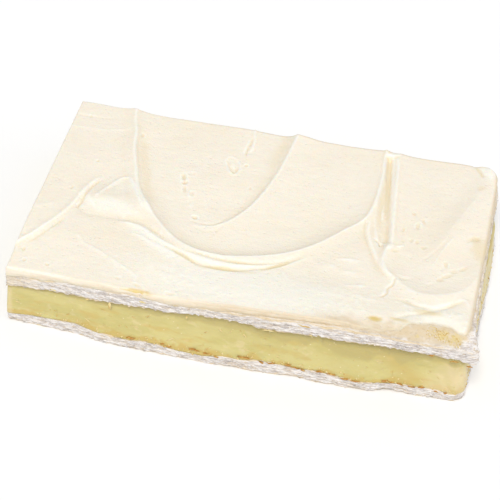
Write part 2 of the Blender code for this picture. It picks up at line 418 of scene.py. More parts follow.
STROKES = (
    # the long sweep: down the left, round the front and up towards the back, and its thin bright lip
    Stroke(SWEEP, 0.72, 2.3, 2.5, scoop=1.2, reach=19.0, swell=((0.0, 0.8), (0.12, 1.0), (0.55, 0.95),
           (0.8, 0.7), (0.88, 0.45), (1.0, 0.5)), left_spread=((0.0, 2.2), (0.08, 1.8), (0.14, 1.15),
           (0.36, 1.2), (0.44, 0.75), (0.6, 0.75), (0.75, 1.4), (1.0, 3.0))),
    Stroke(SWEEP, 0.34, 0.35, 0.8, point=1.3, swell=((0.0, 0.2), (0.08, 0.4), (0.1, 1.2), (0.2, 1.3),
           (0.25, 0.9), (0.3, 1.1), (0.4, 0.35), (0.62, 0.35), (0.75, 0.9), (0.85, 1.5), (1.0, 1.5)),
           right_spread=((0.0, 1.0), (0.1, 1.0), (0.14, 1.7), (0.2, 1.4), (0.26, 1.0), (1.0, 1.0))),
    # the crease from under the tongue and the bright folds under it
    Stroke(((-51.7, -10.0), (-51.2, -12.0), (-48.8, -13.1), (-45, -13.2), (-41, -13.0), (-37.8, -12.6),
           (-34.8, -12.7), (-32.4, -13.4), (-29.8, -14.8), (-26.4, -17.1), (-23.6, -18.7)), -0.34, 1.5, 0.8,
           (1.5, 3.0), 1.4, swell=((0.0, 0.8), (0.35, 0.65), (0.6, 0.75), (0.8, 0.85), (1.0, 0.8)),
           left_spread=((0.0, 1.0), (0.5, 0.9), (0.8, 0.35), (1.0, 0.3)), right_spread=((0.0, 1.2),
           (0.5, 1.0), (0.7, 0.6), (1.0, 0.5))),
    Stroke(((-40, -14.2), (-36.4, -14.3), (-32.8, -15.0), (-29.4, -16.9), (-26.2, -19.0), (-22.4, -20.9),
           (-19, -22.0)), 0.5, 0.5, 0.85, (4.0, 4.0), 1.5),
    Stroke(((-35.4, -18.0), (-32, -18.8), (-28.6, -20.3), (-24, -22.2), (-18.4, -24.2), (-13, -25.2)), 0.3,
           0.6, 1.1, (2.0, 6.0), 1.4),
    # the fold outside the sweep, the wrinkle in it and the crease at its foot
    Stroke(((-24, -21.4), (-21, -21.9), (-17, -22.9), (-13, -23.7), (-8.5, -24.4), (-4, -24.4), (0.5, -23.7),
           (4.8, -22.6), (9, -20.5), (13, -17.7), (17, -14.4), (21, -10.2)), 0.42, 0.55, 1.5, (6.0, 14.0),
           swell=((0.0, 0.5), (0.25, 0.8), (0.45, 0.75), (0.6, 0.7), (1.0, 0.7))),
    Stroke(((-18, -21.8), (-13, -22.5), (-8.5, -23.1), (-4, -23.2), (-0.5, -22.9), (2, -22.4), (4.6, -21.6),
           (7.5, -20.6), (10.1, -19.2), (13, -17)), -0.30, 0.45, 0.35, (6.0, 5.0), 1.3),
    Stroke(((-25.4, -20.8), (-22.4, -21.8), (-20, -22.9), (-17.3, -24.2), (-14.3, -25.5), (-12.1, -26.0),
           (-9.1, -26.4), (-6.1, -26.5), (-3.2, -26.2), (-0.4, -25.4), (2.3, -24.4), (5.1, -23.4),
           (7.7, -21.9), (10.4, -20.1), (12.8, -17.9), (14.9, -16.0), (17.2, -14.0)), -0.55, 1.1, 0.6,
           (9.0, 6.0), 2.4, left_spread=((0.0, 0.6), (0.35, 1.0), (1.0, 0.7))),
    # the hook inside the sweep
    Stroke(HOOK, 0.75, 0.8, 5.0, (20.0, 0.0), scoop=0.75, reach=10.0, swell=((0.0, 0.6), (0.5, 0.7),
           (0.8, 1.1), (1.0, 1.8)), left_spread=((0.0, 1.0), (0.45, 1.0), (1.0, 4.0))),
    Stroke(HOOK, 0.2, 0.35, 0.8, (6.0, 0.0), 1.2),
    # the gully beside the sweep's right arm, its deep side and its right crest
    Stroke(((32.2, 38), (32.8, 33), (33.5, 24.5), (34.2, 15), (35.1, 5.6), (36.4, -2.8), (36.9, -4.4)), -0.95,
           1.5, 1.5, (1.6, 2.5), 3.5, swell=((0.0, 1.0), (0.5, 0.9), (0.75, 0.7), (1.0, 1.0)),
           left_spread=((0.0, 0.6), (0.3, 0.9), (0.55, 1.2), (0.75, 1.3), (0.95, 0.9), (1.0, 0.8)),
           right_spread=((0.0, 0.6), (0.3, 0.9), (0.55, 1.2), (0.75, 1.3), (0.95, 0.9), (1.0, 0.8))),
    Stroke(((32.6, 37.4), (33.7, 27), (34.9, 16), (36.1, 8), (36.9, 2), (37.3, -3.6)), -0.45, 0.9, 0.7,
           (1.6, 2.5), 2.2, swell=((0.0, 2.2), (0.3, 1.9), (0.42, 1.3), (0.55, 0.7), (0.62, 0.9), (0.75, 0.4),
           (0.85, 0.7), (1.0, 1.3))),
    Stroke(((34.8, 37.6), (35.7, 32), (36.2, 26.6), (36.8, 20), (37.3, 13), (38.2, 4), (38.7, -3)), 0.42, 0.6,
           0.5, (2.0, 3.0), 1.4),
    # the short scoop at the right: its left bank, and the lip that rounds its front
    Stroke(((35.4, 47), (36.5, 26), (37.6, 10), (39.0, -3), (38.4, -8), (38.4, -12), (39.6, -15.6),
           (42.4, -18.4), (45.6, -21.0), (49.4, -22.6), (54.3, -22.2), (58.8, -20.2), (62, -17.4),
           (64.6, -12)), 0.5, 4.2, 1.7, scoop=0.9, reach=12.0, swell=((0.0, 0.7), (0.45, 0.75), (0.6, 1.0),
           (0.85, 1.1), (1.0, 0.85)), left_spread=((0.0, 1.3), (0.5, 0.8), (0.62, 0.7), (0.78, 1.3),
           (0.9, 1.5), (1.0, 2.2)), right_spread=((0.0, 0.8), (0.55, 0.8), (0.8, 1.3), (1.0, 1.2))),
    # the crease outside the lip
    Stroke(((30.2, 6), (30.2, 1), (31.6, -4.0), (33.8, -8.9), (36.0, -13.2), (38.6, -17.0), (41.6, -20.0)),
           -0.32, 0.5, 1.5, (3.0, 5.0), 1.3),
    Stroke(((31.2, 6), (31.4, 1), (32.8, -4.0), (34.8, -8.8), (36.6, -12.4)), 0.34, 0.7, 0.5, (4.0, 4.0),
           1.4),
    Stroke(((38.4, -3.6), (37.6, -7.6), (37.4, -11.6), (38.9, -15.2), (41.4, -17.6)), 0.4, 0.5, 0.9,
           (1.5, 2.0), 1.5),
    # folds at the right front
    Stroke(((43, -25.6), (46, -26.6), (50, -27.5), (55, -27.2), (60.6, -23.6)), -0.45, 0.5, 0.7, (4.0, 3.0),
           1.3),
    Stroke(((42.6, -37.0), (45, -34.0), (48.4, -31.6), (52, -29.8), (56.6, -26.4), (62.6, -21.8)), -0.45, 0.7,
           1.1, (5.0, 3.0), 1.3),
    Stroke(((60.0, -23.4), (61.6, -21.8), (63.2, -23.0), (64.0, -25.8)), 0.22, 0.5, 0.8, (1.0, 2.0), 1.4),
    Stroke(((41.4, -15.4), (44.2, -16.0), (47.0, -15.5)), 0.12, 0.5, 0.5, (1.0, 2.0)),
    Stroke(((41.4, -16.6), (44.2, -17.2), (47.0, -16.7)), -0.2, 0.45, 0.45, (1.0, 2.0), 1.4),
    # the raised band along the right end, and the thin lip of that end
    Stroke(((48, -12), (51.5, -5), (54.4, 1.5), (56.4, 8), (58.8, 15.6), (61.2, 23.4), (63.4, 31),
           (64.6, 44)), 0.85, 3.8, 4.6, (20.0, 0.0), 1.9),
    Stroke(((47.4, -8.9), (51.6, -3.7), (55.6, 4.2)), -0.14, 0.4, 0.4, (3.0, 3.0)),
    Stroke(((53.2, 3.4), (55.6, 9.4), (58.9, 18.4), (62.3, 28)), 0.08, 0.7, 0.9, (6.0, 4.0), 1.3),
    # the ridge across the left end, with a hollow along its foot, and the crease beyond
    Stroke(((-49.2, 5.2), (-50.2, 3.2), (-51.6, 0.0), (-53.0, -4.4), (-54.0, -9.6), (-55.4, -13.9),
           (-57.2, -17.9), (-61.0, -24.7), (-64.1, -28.7), (-66.6, -32.2), (-69, -36.6)), 0.5, 0.45, 1.1,
           (4.0, 0.0), scoop=0.2, reach=4.5, swell=((0.0, 0.6), (0.35, 0.7), (0.7, 1.0), (1.0, 1.1))),
    Stroke(((-62.4, -29.6), (-60.2, -26.3), (-58.6, -23.9), (-56.3, -19.7), (-54.4, -15.8)), -0.3, 0.45, 0.5,
           (3.0, 3.0), 1.3),
    Stroke(((-52.9, -11.6), (-52.1, -8.6), (-51.7, -4.8), (-51.0, -1.6), (-49.8, 1.6), (-48.6, 3.4)), -0.56,
           0.4, 0.45, (1.0, 2.0), 1.4, swell=((0.0, 1.2), (0.4, 1.0), (1.0, 0.5))),
    # the tongue of icing folded over against the sweep, and the arc above it
    Stroke(((-51.4, -8.8), (-49.4, -7.1), (-46.4, -5.4), (-42.6, -5.1), (-39, -6.0), (-35.4, -8.6),
           (-31.6, -12.0)), 0.9, 5.6, 4.6, (2.6, 6.0), right_spread=((0.0, 0.6), (0.3, 1.0), (0.6, 0.9),
           (0.85, 0.35), (1.0, 0.3))),
    Stroke(((-48.9, -6.2), (-46.9, -1.9), (-45.1, 2.4), (-43.2, 5.2), (-41.4, 5.7), (-39.6, 3.4),
           (-37.9, -0.2), (-35.6, -4.6), (-32.6, -9.2)), 0.36, 0.55, 0.6, (1.5, 6.0), 1.4, swell=((0.0, 0.9),
           (0.5, 1.0), (0.65, 1.3), (1.0, 1.2)), left_spread=((0.0, 1.0), (0.5, 1.0), (0.7, 1.6), (1.0, 1.6)),
           right_spread=((0.0, 1.0), (0.5, 1.0), (0.7, 1.8), (1.0, 1.8))),
    Stroke(((-47.7, -4.6), (-45.3, -0.4), (-43.3, 2.4)), -0.15, 0.5, 0.5, (1.0, 1.5), 1.4),
    # faint wisps
    Stroke(((-50.1, -22.0), (-48.0, -24.2), (-46.1, -25.9), (-41.1, -28.2), (-35.9, -31.2), (-29.7, -34.8),
           (-27, -37)), 0.26, 0.5, 0.5, (2.0, 5.0), 1.4, swell=((0.0, 1.0), (0.2, 0.6), (0.3, 1.1),
           (0.5, 0.5), (0.65, 0.9), (1.0, 0.5))),
    Stroke(((-68, 26.2), (-60, 26.8), (-54, 27.0), (-45.6, 30.0)), 0.14, 0.4, 0.5, point=1.4),
    Stroke(((-69, 33.0), (-62, 32.4), (-52, 33.2)), -0.14, 0.4, 0.5, (0.0, 4.0)),
    Stroke(((-67, -14), (-63, -12.6), (-58, -10.6)), 0.12, 1.2, 1.2, (0.0, 3.0)),
    # cracks
    Stroke(((-9.6, 35.4), (-9.9, 32.2), (-10.3, 28.9), (-10.2, 25.9)), -0.36, 0.35, 0.4, (1.5, 1.5),
           swell=((0.0, 1.0), (0.4, 0.9), (0.5, 0.4), (0.6, 0.9), (1.0, 1.0))),
    Stroke(((-9.7, 41), (-9.8, 38.6), (-9.0, 34.3), (-8.7, 30.8), (-9.1, 27.6)), 0.3, 0.4, 0.5, (0.0, 2.0),
           1.5),
    Stroke(((42.2, -17.6), (41.8, -20.6), (40.6, -22.6), (40.6, -24.8), (38.6, -27.4)), -0.4, 0.3, 0.3,
           (1.0, 2.0)),
    # the burst bubble near the back, the arcs at the hook's tip and the crease at the right back corner
    Stroke(((-15.4, 22.2), (-14.5, 19.6), (-13.1, 17.4), (-11.8, 16.4), (-10.9, 17.7), (-10.8, 20.4),
           (-11.9, 22.7), (-13.5, 24.1), (-14.9, 23.7), (-15.4, 22.2)), 0.12, 0.35, 0.6, scoop=0.36,
           reach=1.5, swell=((0.0, 0.9), (0.15, 0.8), (0.3, 1.6), (0.45, 1.2), (0.5, 1.5), (0.6, 0.6),
           (1.0, 0.6))),
    Stroke(((-20.5, -7.0), (-16.6, -8.0), (-13.1, -7.6), (-10.7, -5.3), (-9.5, -2.7)), -0.18, 0.45, 0.4,
           (2.0, 2.0), 1.4),
    Stroke(((-18.7, -9.6), (-14.5, -11.0), (-11.3, -9.8), (-9.0, -6.3)), -0.18, 0.45, 0.5, (2.0, 2.0), 1.4),
    Stroke(((57.4, 40.6), (59.0, 38.4), (60.3, 36.4), (61.5, 33.6)), -0.3, 0.9, 0.5, (1.0, 1.5), 1.5),
    Stroke(((37, -4.6), (35.4, -3.6), (33.8, -2.2)), -0.6, 0.4, 0.4, (0.5, 1.0)),
)

DABS = tuple(Dab(*row) for row in (
    # pits and bubbles
    (-26.0, 11.6, -0.5, 0.75, 1.5, 14.0), (-25.2, 9.2, -0.5, 0.8, 0.8), (-24.6, 6.2, -0.3, 0.55, 1.3, 14.0),
    (-21.9, 4.4, -0.12, 0.9, 1.2, 0.0, 0.1), (-24.1, 13.5, -0.1, 1.1, 0.9, 0.0, 0.09),
    (-18.7, -5.6, -0.48, 0.9, 0.6, -20.0, 0.02), (-52.5, 11.4, -0.33, 0.5, 0.5, 0.0, 0.01),
    (-42.7, 27.5, -0.39, 0.5, 0.8, 0.0, 0.02), (-60.5, 32.6, -0.23, 0.4, 0.7, 0.0, 0.01),
    (-56.6, -2.6, -0.2, 0.5, 0.7, 0.0, 0.02), (-58.9, 1.2, 0.1, 0.8, 0.9, 0.0, 0.08),
    (-9.1, 21.5, -0.4, 0.5, 0.6, 0.0, 0.02), (-5.8, 11.4, -0.32, 0.4, 0.7, 0.0, 0.02),
    (-61, -35.8, -0.23, 0.6, 0.6, 0.0, 0.17), (-54.1, -36.6, -0.2, 0.7, 0.5, -10.0, 0.14),
    (-62.4, -31.6, -0.3, 0.6, 0.8), (-33.4, -37.6, -0.2, 1, 0.6, -10.0, 0.02),
    (-27.6, -38.9, -0.2, 1.3, 0.6, -10.0, 0.02), (-17.8, -40, -0.2, 1.3, 0.7, -10.0, 0.1),
    (45.2, 7.2, -0.27, 0.6, 1.59), (41.4, 4.8, -0.23, 0.48, 1.06), (46.7, 9.5, -0.2, 0.48, 1.18, 25.0),
    (41.9, -0.6, -0.2, 0.6, 0.66), (44.3, 0.5, -0.2, 0.48, 0.79), (45.9, 0, -0.16, 0.48, 0.92),
    (48.2, -2.1, -0.27, 0.72, 0.79), (43.6, 12.5, -0.16, 0.48, 0.79), (62.2, 4.9, -0.23, 1.81, 1.06, 25.0),
    (55.3, -8.3, -0.27, 0.6, 1.32, 10.0), (56.2, -13, -0.23, 1.81, 0.66, 35.0),
    (54.6, -14.8, -0.2, 1.08, 0.79, 30.0), (57.9, -10.6, -0.2, 0.97, 0.79, 30.0),
    (60.4, -9, -0.16, 1.45, 0.66, 40.0), (51.9, -17.6, -0.14, 1.32, 0.53, 30.0),
    (38.8, -36.2, -0.16, 2.29, 1.18, -4.0), (36, -4.4, -0.6, 0.7, 0.9), (40.2, -5.9, -0.2, 1.21, 0.66, 30.0),
    (32.6, -28.8, -0.12, 1, 0.7, 0.0, 0.08),
    # soft mounds
    (-22.2, 3, 0.16, 1, 1.6, 20.0), (-21, -0.4, 0.14, 1, 1.2), (-8.5, -39.6, 0.18, 2, 1.1, 5.0, 0.08),
    (22.8, -17.6, 0.22, 2.2, 1, 0.0, 0.08), (28, -13.6, 0.2, 3.4, 0.7, 6.0),
    (29.5, -18.6, 0.16, 3, 0.7, 2.0, 0.05), (31.8, -23.8, 0.16, 3.4, 0.7, 12.0),
    (10.3, -24.9, 0.12, 2.2, 1.1, 0.0, 0.06), (38.6, -4.9, 0.32, 1, 1.7, -30.0),
    (41.4, -3.4, 0.28, 1.3, 0.5, 40.0), (34.4, 9.4, 0.2, 0.5, 2.4, 6.0), (34.7, 2.4, 0.2, 0.6, 1.8, 14.0),
    (62.2, 37.4, 0.3, 1.8, 3.4, 32.0), (33.6, 38, 0.3, 1.6, 0.9, 10.0), (57.5, -31, 0.5, 6.5, 3, 4.0),
    (8, -31, 0.25, 26, 6, 4.0),
))

# Patches painted on the icing, each as strong as its height says: painted shade in the gully and hollows,
# painted highlights, and yellow custard stains with some painted shade along the lower fold
# painted shade patches: the gully floor, the sweep's left wall and the hook's west wall
SHADE_PATCHES = tuple(Dab(*row) for row in (
    (34.0, 14.0, 0.4, 1.7, 15.0, -6.0), (-38.8, 14.6, 0.35, 1.7, 16.0, 17.5),
    (-0.6, 30.6, 0.3, 2.6, 9.0, -12.0),
))
# painted highlight patches, on slopes and streaks that catch the light
HIGHLIGHT_PATCHES = tuple(Dab(*row) for row in (
    (2.0, -33.0, 0.75, 34.0, 9.0), (57.0, -30.0, 0.6, 7.0, 5.0), (-43.0, -8.6, 0.8, 7.5, 3.2),
    (-27.6, -20.2, 0.8, 10.5, 2.4, -33.0), (-35.4, -2.8, 0.7, 8.5, 1.2, -57.0), (-42.6, 0.4, 0.35, 3.6, 3.6),
    (62.4, 36.8, 0.8, 2.4, 4.4, 35.0),
))
# yellow custard stains; the four dabs along the lower fold, from x -17.6 to 8.6, are painted shade
STAINS_AND_FOLD_SHADE = tuple(Dab(*row) for row in (
    (38.8, -36.0, 1.0, 1.9, 0.9), (45.5, -34.6, 0.6, 3.0, 0.6), (53.0, -29.6, 0.5, 3.6, 1.3),
    (63.9, 0.6, 0.28, 2.2, 5.6, 8.0), (62.6, 5.0, 0.1, 1.8, 0.8, 25.0), (60.4, 36.4, 0.3, 0.6, 2.8, 28.0),
    (61.6, 28.4, 0.22, 1.4, 1.2, 20.0), (-5.6, -26.5, 0.55, 7.5, 0.85, 3.0),
    (-17.6, -24.3, 0.42, 5.0, 0.7, -24.0), (8.6, -21.5, 0.42, 5.0, 0.75, 38.0),
    (-1.6, -23.0, 0.25, 7.0, 0.6, 5.0),
))
TEAR = Dab(-27.4, -41.5, 1.0, 4.4, 1.1, 6.0)


def icing_top(x: Array, y: Array) -> Array:
    """Top of the icing, with every stroke and dab in it.

    Args:
        x: Places along the slice.
        y: Places across it.

    Returns:
        The height at each place.
    """
    height = follow_front(x, y, 22.0 + 0.14 * grain(x / 14.0, y / 11.0, 11), ICING_PROFILE, 20.0)
    height = height + 0.05 * grain(x / 4.0, y / 2.6, 12) + 0.022 * grain(x / 1.5, y / 0.9, 13)
    for mark in (*STROKES, *DABS):
        height = height + mark.relief(x, y)
    return height


def painted(marks: Iterable[Dab], x: Array, y: Array) -> Array:
    """Strength of a colour at each place, from its patches."""
    return sum(mark.height * mark.shade(x, y) for mark in marks)


class Flow:
    """A number or colour on its way through a finish, which can be used in sums."""

    def __init__(self, bench: Bench, socket: bpy.types.NodeSocket) -> None:
        """Keep the socket and the bench it belongs to."""
        self.bench = bench
        self.socket = socket

    def __add__(self, other: Flow | float) -> Flow:
        """Sum."""
        return self.bench.maths("ADD", self, other)

    def __mul__(self, other: Flow | float) -> Flow:
        """Product."""
        return self.bench.maths("MULTIPLY", self, other)

    __radd__ = __add__
    __rmul__ = __mul__


class Tree:
    """A node tree, with the one way to add a node to it."""

    def __init__(self, tree: bpy.types.NodeTree) -> None:
        """Keep the tree."""
        self.tree = tree

    def node(self, kind: str, settings: dict | None = None, inputs: dict | None = None) -> bpy.types.Node:
        """Add a node.

        Args:
            kind: The node's type.
            settings: Its properties, set before its sockets.
            inputs: Values, flows or sockets for its inputs, by name or number.

        Returns:
            The node.
        """
        made = self.tree.nodes.new(kind)
        for name, value in (settings or {}).items():
            setattr(made, name, value)
        for name, value in (inputs or {}).items():
            source = getattr(value, "socket", value)
            if isinstance(source, bpy.types.NodeSocket):
                self.tree.links.new(source, made.inputs[name])
            else:
                made.inputs[name].default_value = value
        return made


class Bench(Tree):
    """The node tree of one finish.

    In its methods, `stretch` is the size of one feature along each axis in millimetres, `detail` is how many
    finer layers a noise has and `rough` is how strong they are. A mask is 0 where its source is at `low` and
    1 where it is at `high`, which may be the smaller of the two.
    """

    def __init__(self, name: str) -> None:
        """Start a finish with an empty tree.

        Args:
            name: The name of its material.
        """
        self.material = bpy.data.materials.new(name)
        self.material.use_nodes = True
        super().__init__(self.material.node_tree)
        self.tree.nodes.clear()

    def maths(self, operation: str, first: Flow | float, second: Flow | float) -> Flow:
        """Work on two numbers."""
        made = self.node("ShaderNodeMath", {"operation": operation}, {0: first, 1: second})
        return Flow(self, made.outputs[0])

    def coordinates(self, stretch: Triple) -> Flow:
        """Object coordinates, counted in features.

        Args:
            stretch: Size of one feature along each axis, in millimetres.

        Returns:
            The coordinates.
        """
        source = self.node("ShaderNodeTexCoord").outputs["Object"]
        scale = tuple(1.0 / (MM * size) for size in stretch)
        return Flow(self, self.node("ShaderNodeMapping", None, {"Vector": source, "Scale": scale}).outputs[0])

    def noise(self, stretch: Triple, detail: float = 2.0, rough: float = 0.5) -> Flow:
        """Cloudy noise from 0 to 1."""
        inputs = {"Vector": self.coordinates(stretch), "Scale": 1.0, "Detail": detail, "Roughness": rough}
        return Flow(self, self.node("ShaderNodeTexNoise", None, inputs).outputs[0])

    def ramp(self, value: Flow, low: float, high: float) -> Flow:
        """Rise from 0 to 1 between two values.

        Args:
            value: The number.
            low: Where the rise starts.
            high: Where it ends.

        Returns:
            The mask.
        """
        made = self.node("ShaderNodeMapRange", {"interpolation_type": "SMOOTHSTEP"},
                         {"Value": value, "From Min": low, "From Max": high})
        return Flow(self, made.outputs[0])

    def patches(self, stretch: Triple, low: float, high: float, detail: float = 2.0,
                rough: float = 0.5) -> Flow:
        """A mask of cloudy patches."""
        return self.ramp(self.noise(stretch, detail, rough), low, high)

    def dots(self, stretch: Triple, low: float, high: float) -> Flow:
        """A mask of scattered dots, from the distance to each over the distance between them."""
        made = self.node("ShaderNodeTexVoronoi", None, {"Vector": self.coordinates(stretch), "Scale": 1.0})
        return self.ramp(Flow(self, made.outputs["Distance"]), low, high)

    def painted(self, name: str) -> Flow:
        """A mask painted on the piece."""
        return Flow(self, self.node("ShaderNodeAttribute", {"attribute_name": name}).outputs["Fac"])

    def layered(self, colour: Flow | Colour, *layers: tuple[Flow, Flow | Colour]) -> Flow:
        """Lay colours over one another.

        Args:
            colour: The lowest colour.
            layers: A mask and a colour for each layer over it.

        Returns:
            The blended colour.
        """
        for mask, over in layers:
            made = self.node("ShaderNodeMix", {"data_type": "RGBA"},
                             {"Factor": mask, 6: solid(colour), 7: solid(over)})
            colour = Flow(self, made.outputs[2])
        return colour

    def bumped(self, *layers: tuple[Flow, float]) -> Flow:
        """Turn heights into one slope of the surface.

        Args:
            layers: Heights from 0 to 1, each with what 1 stands for in millimetres.

        Returns:
            The slope.
        """
        under: dict = {}
        for height, distance in layers:
            made = self.node("ShaderNodeBump", None, {"Height": height, "Distance": distance * MM, **under})
            under = {"Normal": made.outputs[0]}
        return Flow(self, under["Normal"])

    def finish(self, colour: Flow | Colour, slope: Flow | None,
               **constants: float | Triple) -> bpy.types.Material:
        """Close the tree with its shader.

        Args:
            colour: Base colour.
            slope: Bump, if any.
            constants: The shader's other sockets, with underscores for spaces.

        Returns:
            The finished material.
        """
        inputs = {name.replace("_", " "): value for name, value in constants.items()}
        inputs["Base Color"] = solid(colour)
        if slope is not None:
            inputs["Normal"] = slope
        shader = self.node("ShaderNodeBsdfPrincipled", None, inputs)
        self.node("ShaderNodeOutputMaterial", None, {"Surface": shader.outputs[0]})
        return self.material


def solid(colour: Flow | Colour) -> Flow | tuple:
    """A colour as a socket takes it."""
    return colour if isinstance(colour, Flow) else (*colour, 1.0)


def srgb(*parts: float) -> Colour:
    """A screen colour, its red, green and blue from 0 to 255, as light."""
    shares = [part / 255.0 for part in parts]
    return tuple(share / 12.92 if share <= 0.04045 else ((share + 0.055) / 1.055) ** 2.4 for share in shares)


@dataclass(frozen=True)
class IcingFinish:
    """Soft ivory icing, satin and slightly see-through, with painted shade in creases, painted highlights on
    crests, and tan sides that are partly painted shade.
    """

    ivory: Colour = srgb(250, 240, 224)
    # crease: a warmer ivory, laid on as random tone and as painted shade in creases, pits and hollows
    crease: Colour = srgb(240, 226, 196)
    # pale: a painted highlight
    pale: Colour = srgb(253, 248, 236)
    # side: tan of the cut sides, partly painted shade
    side: Colour = srgb(220, 203, 174)
    # stain: custard yellow, for real stains and for painted shade along the lower fold
    stain: Colour = srgb(224, 200, 130)

    def make(self) -> bpy.types.Material:
        """Make the material.

        Returns:
            The material.
        """
        bench = Bench("icing_finish")
        colour = bench.layered(
            self.ivory,
            (bench.patches((22.0, 17.0, 9.0), 0.42, 0.72, 3.0) * 0.2, self.crease),
            (bench.patches((1.5, 0.9, 1.0), 0.48, 0.66, 3.0, 0.65) * 0.16, self.crease),
            # painted shade in creases, pits and hollows
            (bench.painted("hollow"), self.crease),
            # painted highlights on crests
            (bench.painted("crest"), self.pale),
            (bench.painted("side"), self.side),
            # yellow custard stains, with painted shade along the lower fold
            (bench.painted("stain"), self.stain),
        )
        slope = bench.bumped(
            (bench.noise((0.55, 0.45, 0.5), 3.0, 0.6), 0.14),
            (bench.noise((3.2, 1.2, 1.1)), 0.12),
            (bench.dots((2.3, 2.0, 2.2), 0.10, 0.20), 0.08),
        )
        return bench.finish(colour, slope, Roughness=0.48, Subsurface_Weight=0.35,
                            Subsurface_Radius=(1.0, 0.75, 0.5), Subsurface_Scale=1.6 * MM)


@dataclass(frozen=True)
class CustardFinish:
    """Set custard: smooth yellow with ochre smears, pale skin patches, a few specks and a painted shadow band
    under the top sheet.
    """

    yellow: Colour = srgb(211, 199, 134)
    khaki: Colour = srgb(202, 190, 122)
    ochre: Colour = srgb(205, 178, 102)
    peach: Colour = srgb(233, 213, 172)
    speck: Colour = srgb(232, 222, 184)
    shade: Colour = srgb(189, 174, 113)

    def make(self) -> bpy.types.Material:
        """Make the material.

        Returns:
            The material.
        """
        bench = Bench("custard_finish")
        colour = bench.layered(
            self.yellow,
            (bench.patches((13.0, 13.0, 5.0), 0.42, 0.62, 3.0, 0.6), self.khaki),
            (bench.patches((3.5, 3.5, 2.0), 0.55, 0.72, 3.0, 0.6) * 0.35, self.peach),
            (bench.patches((9.0, 9.0, 2.2), 0.52, 0.72, 3.0) * 0.6, self.ochre),
            (bench.painted("ochre"), self.ochre),
            (bench.painted("peach"), self.peach),
            # painted shadow under the top sheet's overhang
            (bench.painted("shade"), self.shade),
            (bench.dots((2.6, 2.6, 2.0), 0.11, 0.06) * 0.6, self.speck),
            (bench.dots((3.7, 3.7, 2.3), 0.10, 0.04) * 0.6, self.ochre),
        )
        slope = bench.bumped((bench.noise((2.4, 2.4, 0.9), 3.0), 0.10), (bench.noise((0.5, 0.5, 0.4)), 0.03))
        return bench.finish(colour, slope, Roughness=0.42, Subsurface_Weight=0.3,
                            Subsurface_Radius=(1.0, 0.7, 0.25), Subsurface_Scale=2.0 * MM)


@dataclass(frozen=True)
class PastryFinish:
    """Flaky pastry: dry white and grey leaves with tan lines, painted shade in the gaps between leaves, and
    browned skins.
    """

    white: Colour = srgb(239, 234, 230)
    grey: Colour = srgb(207, 198, 192)
    tan: Colour = srgb(206, 184, 150)
    skin: Colour = srgb(224, 205, 172)
    yellow: Colour = srgb(226, 205, 140)

    def make(self) -> bpy.types.Material:
        """Make the material.

        Returns:
            The material.
        """
        bench = Bench("pastry_finish")
        baked = bench.layered(
            self.skin,
            (bench.patches((3.4, 3.4, 2.0), 0.60, 0.66, 3.0, 0.6) * 0.7, self.yellow),
            (bench.patches((0.9, 0.9, 0.5), 0.56, 0.66) * 0.6, self.tan),
        )
        uneven = 0.6 + 0.4 * bench.patches((2.4, 2.4, 2.4), 0.30, 0.60, 3.0, 0.65)
        colour = bench.layered(
            self.white,
            (bench.patches((3.2, 3.2, 0.46), 0.46, 0.60, 4.0, 0.7), self.grey),
            (bench.patches((2.0, 2.0, 0.36), 0.56, 0.62, 4.0, 0.75) * 0.65, self.tan),
            # painted shade in the gaps and pockets between leaves, with tan shreds at the foot
            (bench.painted("groove"), self.tan),
            (bench.painted("skin") * uneven, baked),
            (bench.painted("yolk"), self.yellow),
        )
        slope = bench.bumped((bench.noise((1.4, 1.4, 0.2), 3.0, 0.6), 0.10))
        return bench.finish(colour, slope, Roughness=0.72, Subsurface_Weight=0.12,
                            Subsurface_Radius=(1.0, 0.8, 0.6), Subsurface_Scale=0.8 * MM)


@dataclass(frozen=True)
class CaramelFinish:
    """Burnt sugar: brown, a little glossy, lighter where it is thin."""

    brown: Colour = srgb(182, 128, 50)
    amber: Colour = srgb(204, 166, 92)

    def make(self) -> bpy.types.Material:
        """Make the material.

        Returns:
            The material.
        """
        bench = Bench("caramel_finish")
        colour = bench.layered(self.brown, (bench.patches((0.9, 0.9, 0.7), 0.45, 0.65), self.amber))
        return bench.finish(colour, None, Roughness=0.4)


@dataclass(frozen=True)
class CrumbFinish:
    """Crumbs: cream to toasted yellow."""

    cream: Colour = srgb(230, 211, 152)
    toasted: Colour = srgb(210, 175, 104)

    def make(self) -> bpy.types.Material:
        """Make the material.

        Returns:
            The material.
        """
        bench = Bench("crumb_finish")
        colour = bench.layered(self.cream, (bench.patches((2.0, 2.0, 2.0), 0.50, 0.66), self.toasted))
        return bench.finish(colour, bench.bumped((bench.noise((0.3, 0.3, 0.3)), 0.05)), Roughness=0.75)


@dataclass(frozen=True)
class TableFinish:
    """Plain pale table top."""

    white: Colour = (0.97, 0.97, 0.97)

    def make(self) -> bpy.types.Material:
        """Make the material.

        Returns:
            The material.
        """
        return Bench("table_finish").finish(self.white, None, Roughness=0.9)


def place(points: Array) -> Array:
    """Move plan points, in millimetres, into the frame, in metres."""
    return (points - np.array([*PLAN_SHIFT, 0.0])) * MM


def mesh_object(name: str, points: Array, faces: Array | list, linked: bool = True) -> bpy.types.Object:
    """Make an object with a plain mesh.

    Args:
        name: The object's name.
        points: Points in metres.
        faces: Corners of each face.
        linked: Whether it goes in the scene.

    Returns:
        The object.
    """
    mesh = bpy.data.meshes.new(name)
    mesh.from_pydata(points.tolist(), [], faces if isinstance(faces, list) else faces.tolist())
    made = bpy.data.objects.new(name, mesh)
    if linked:
        bpy.context.scene.collection.objects.link(made)
    return made


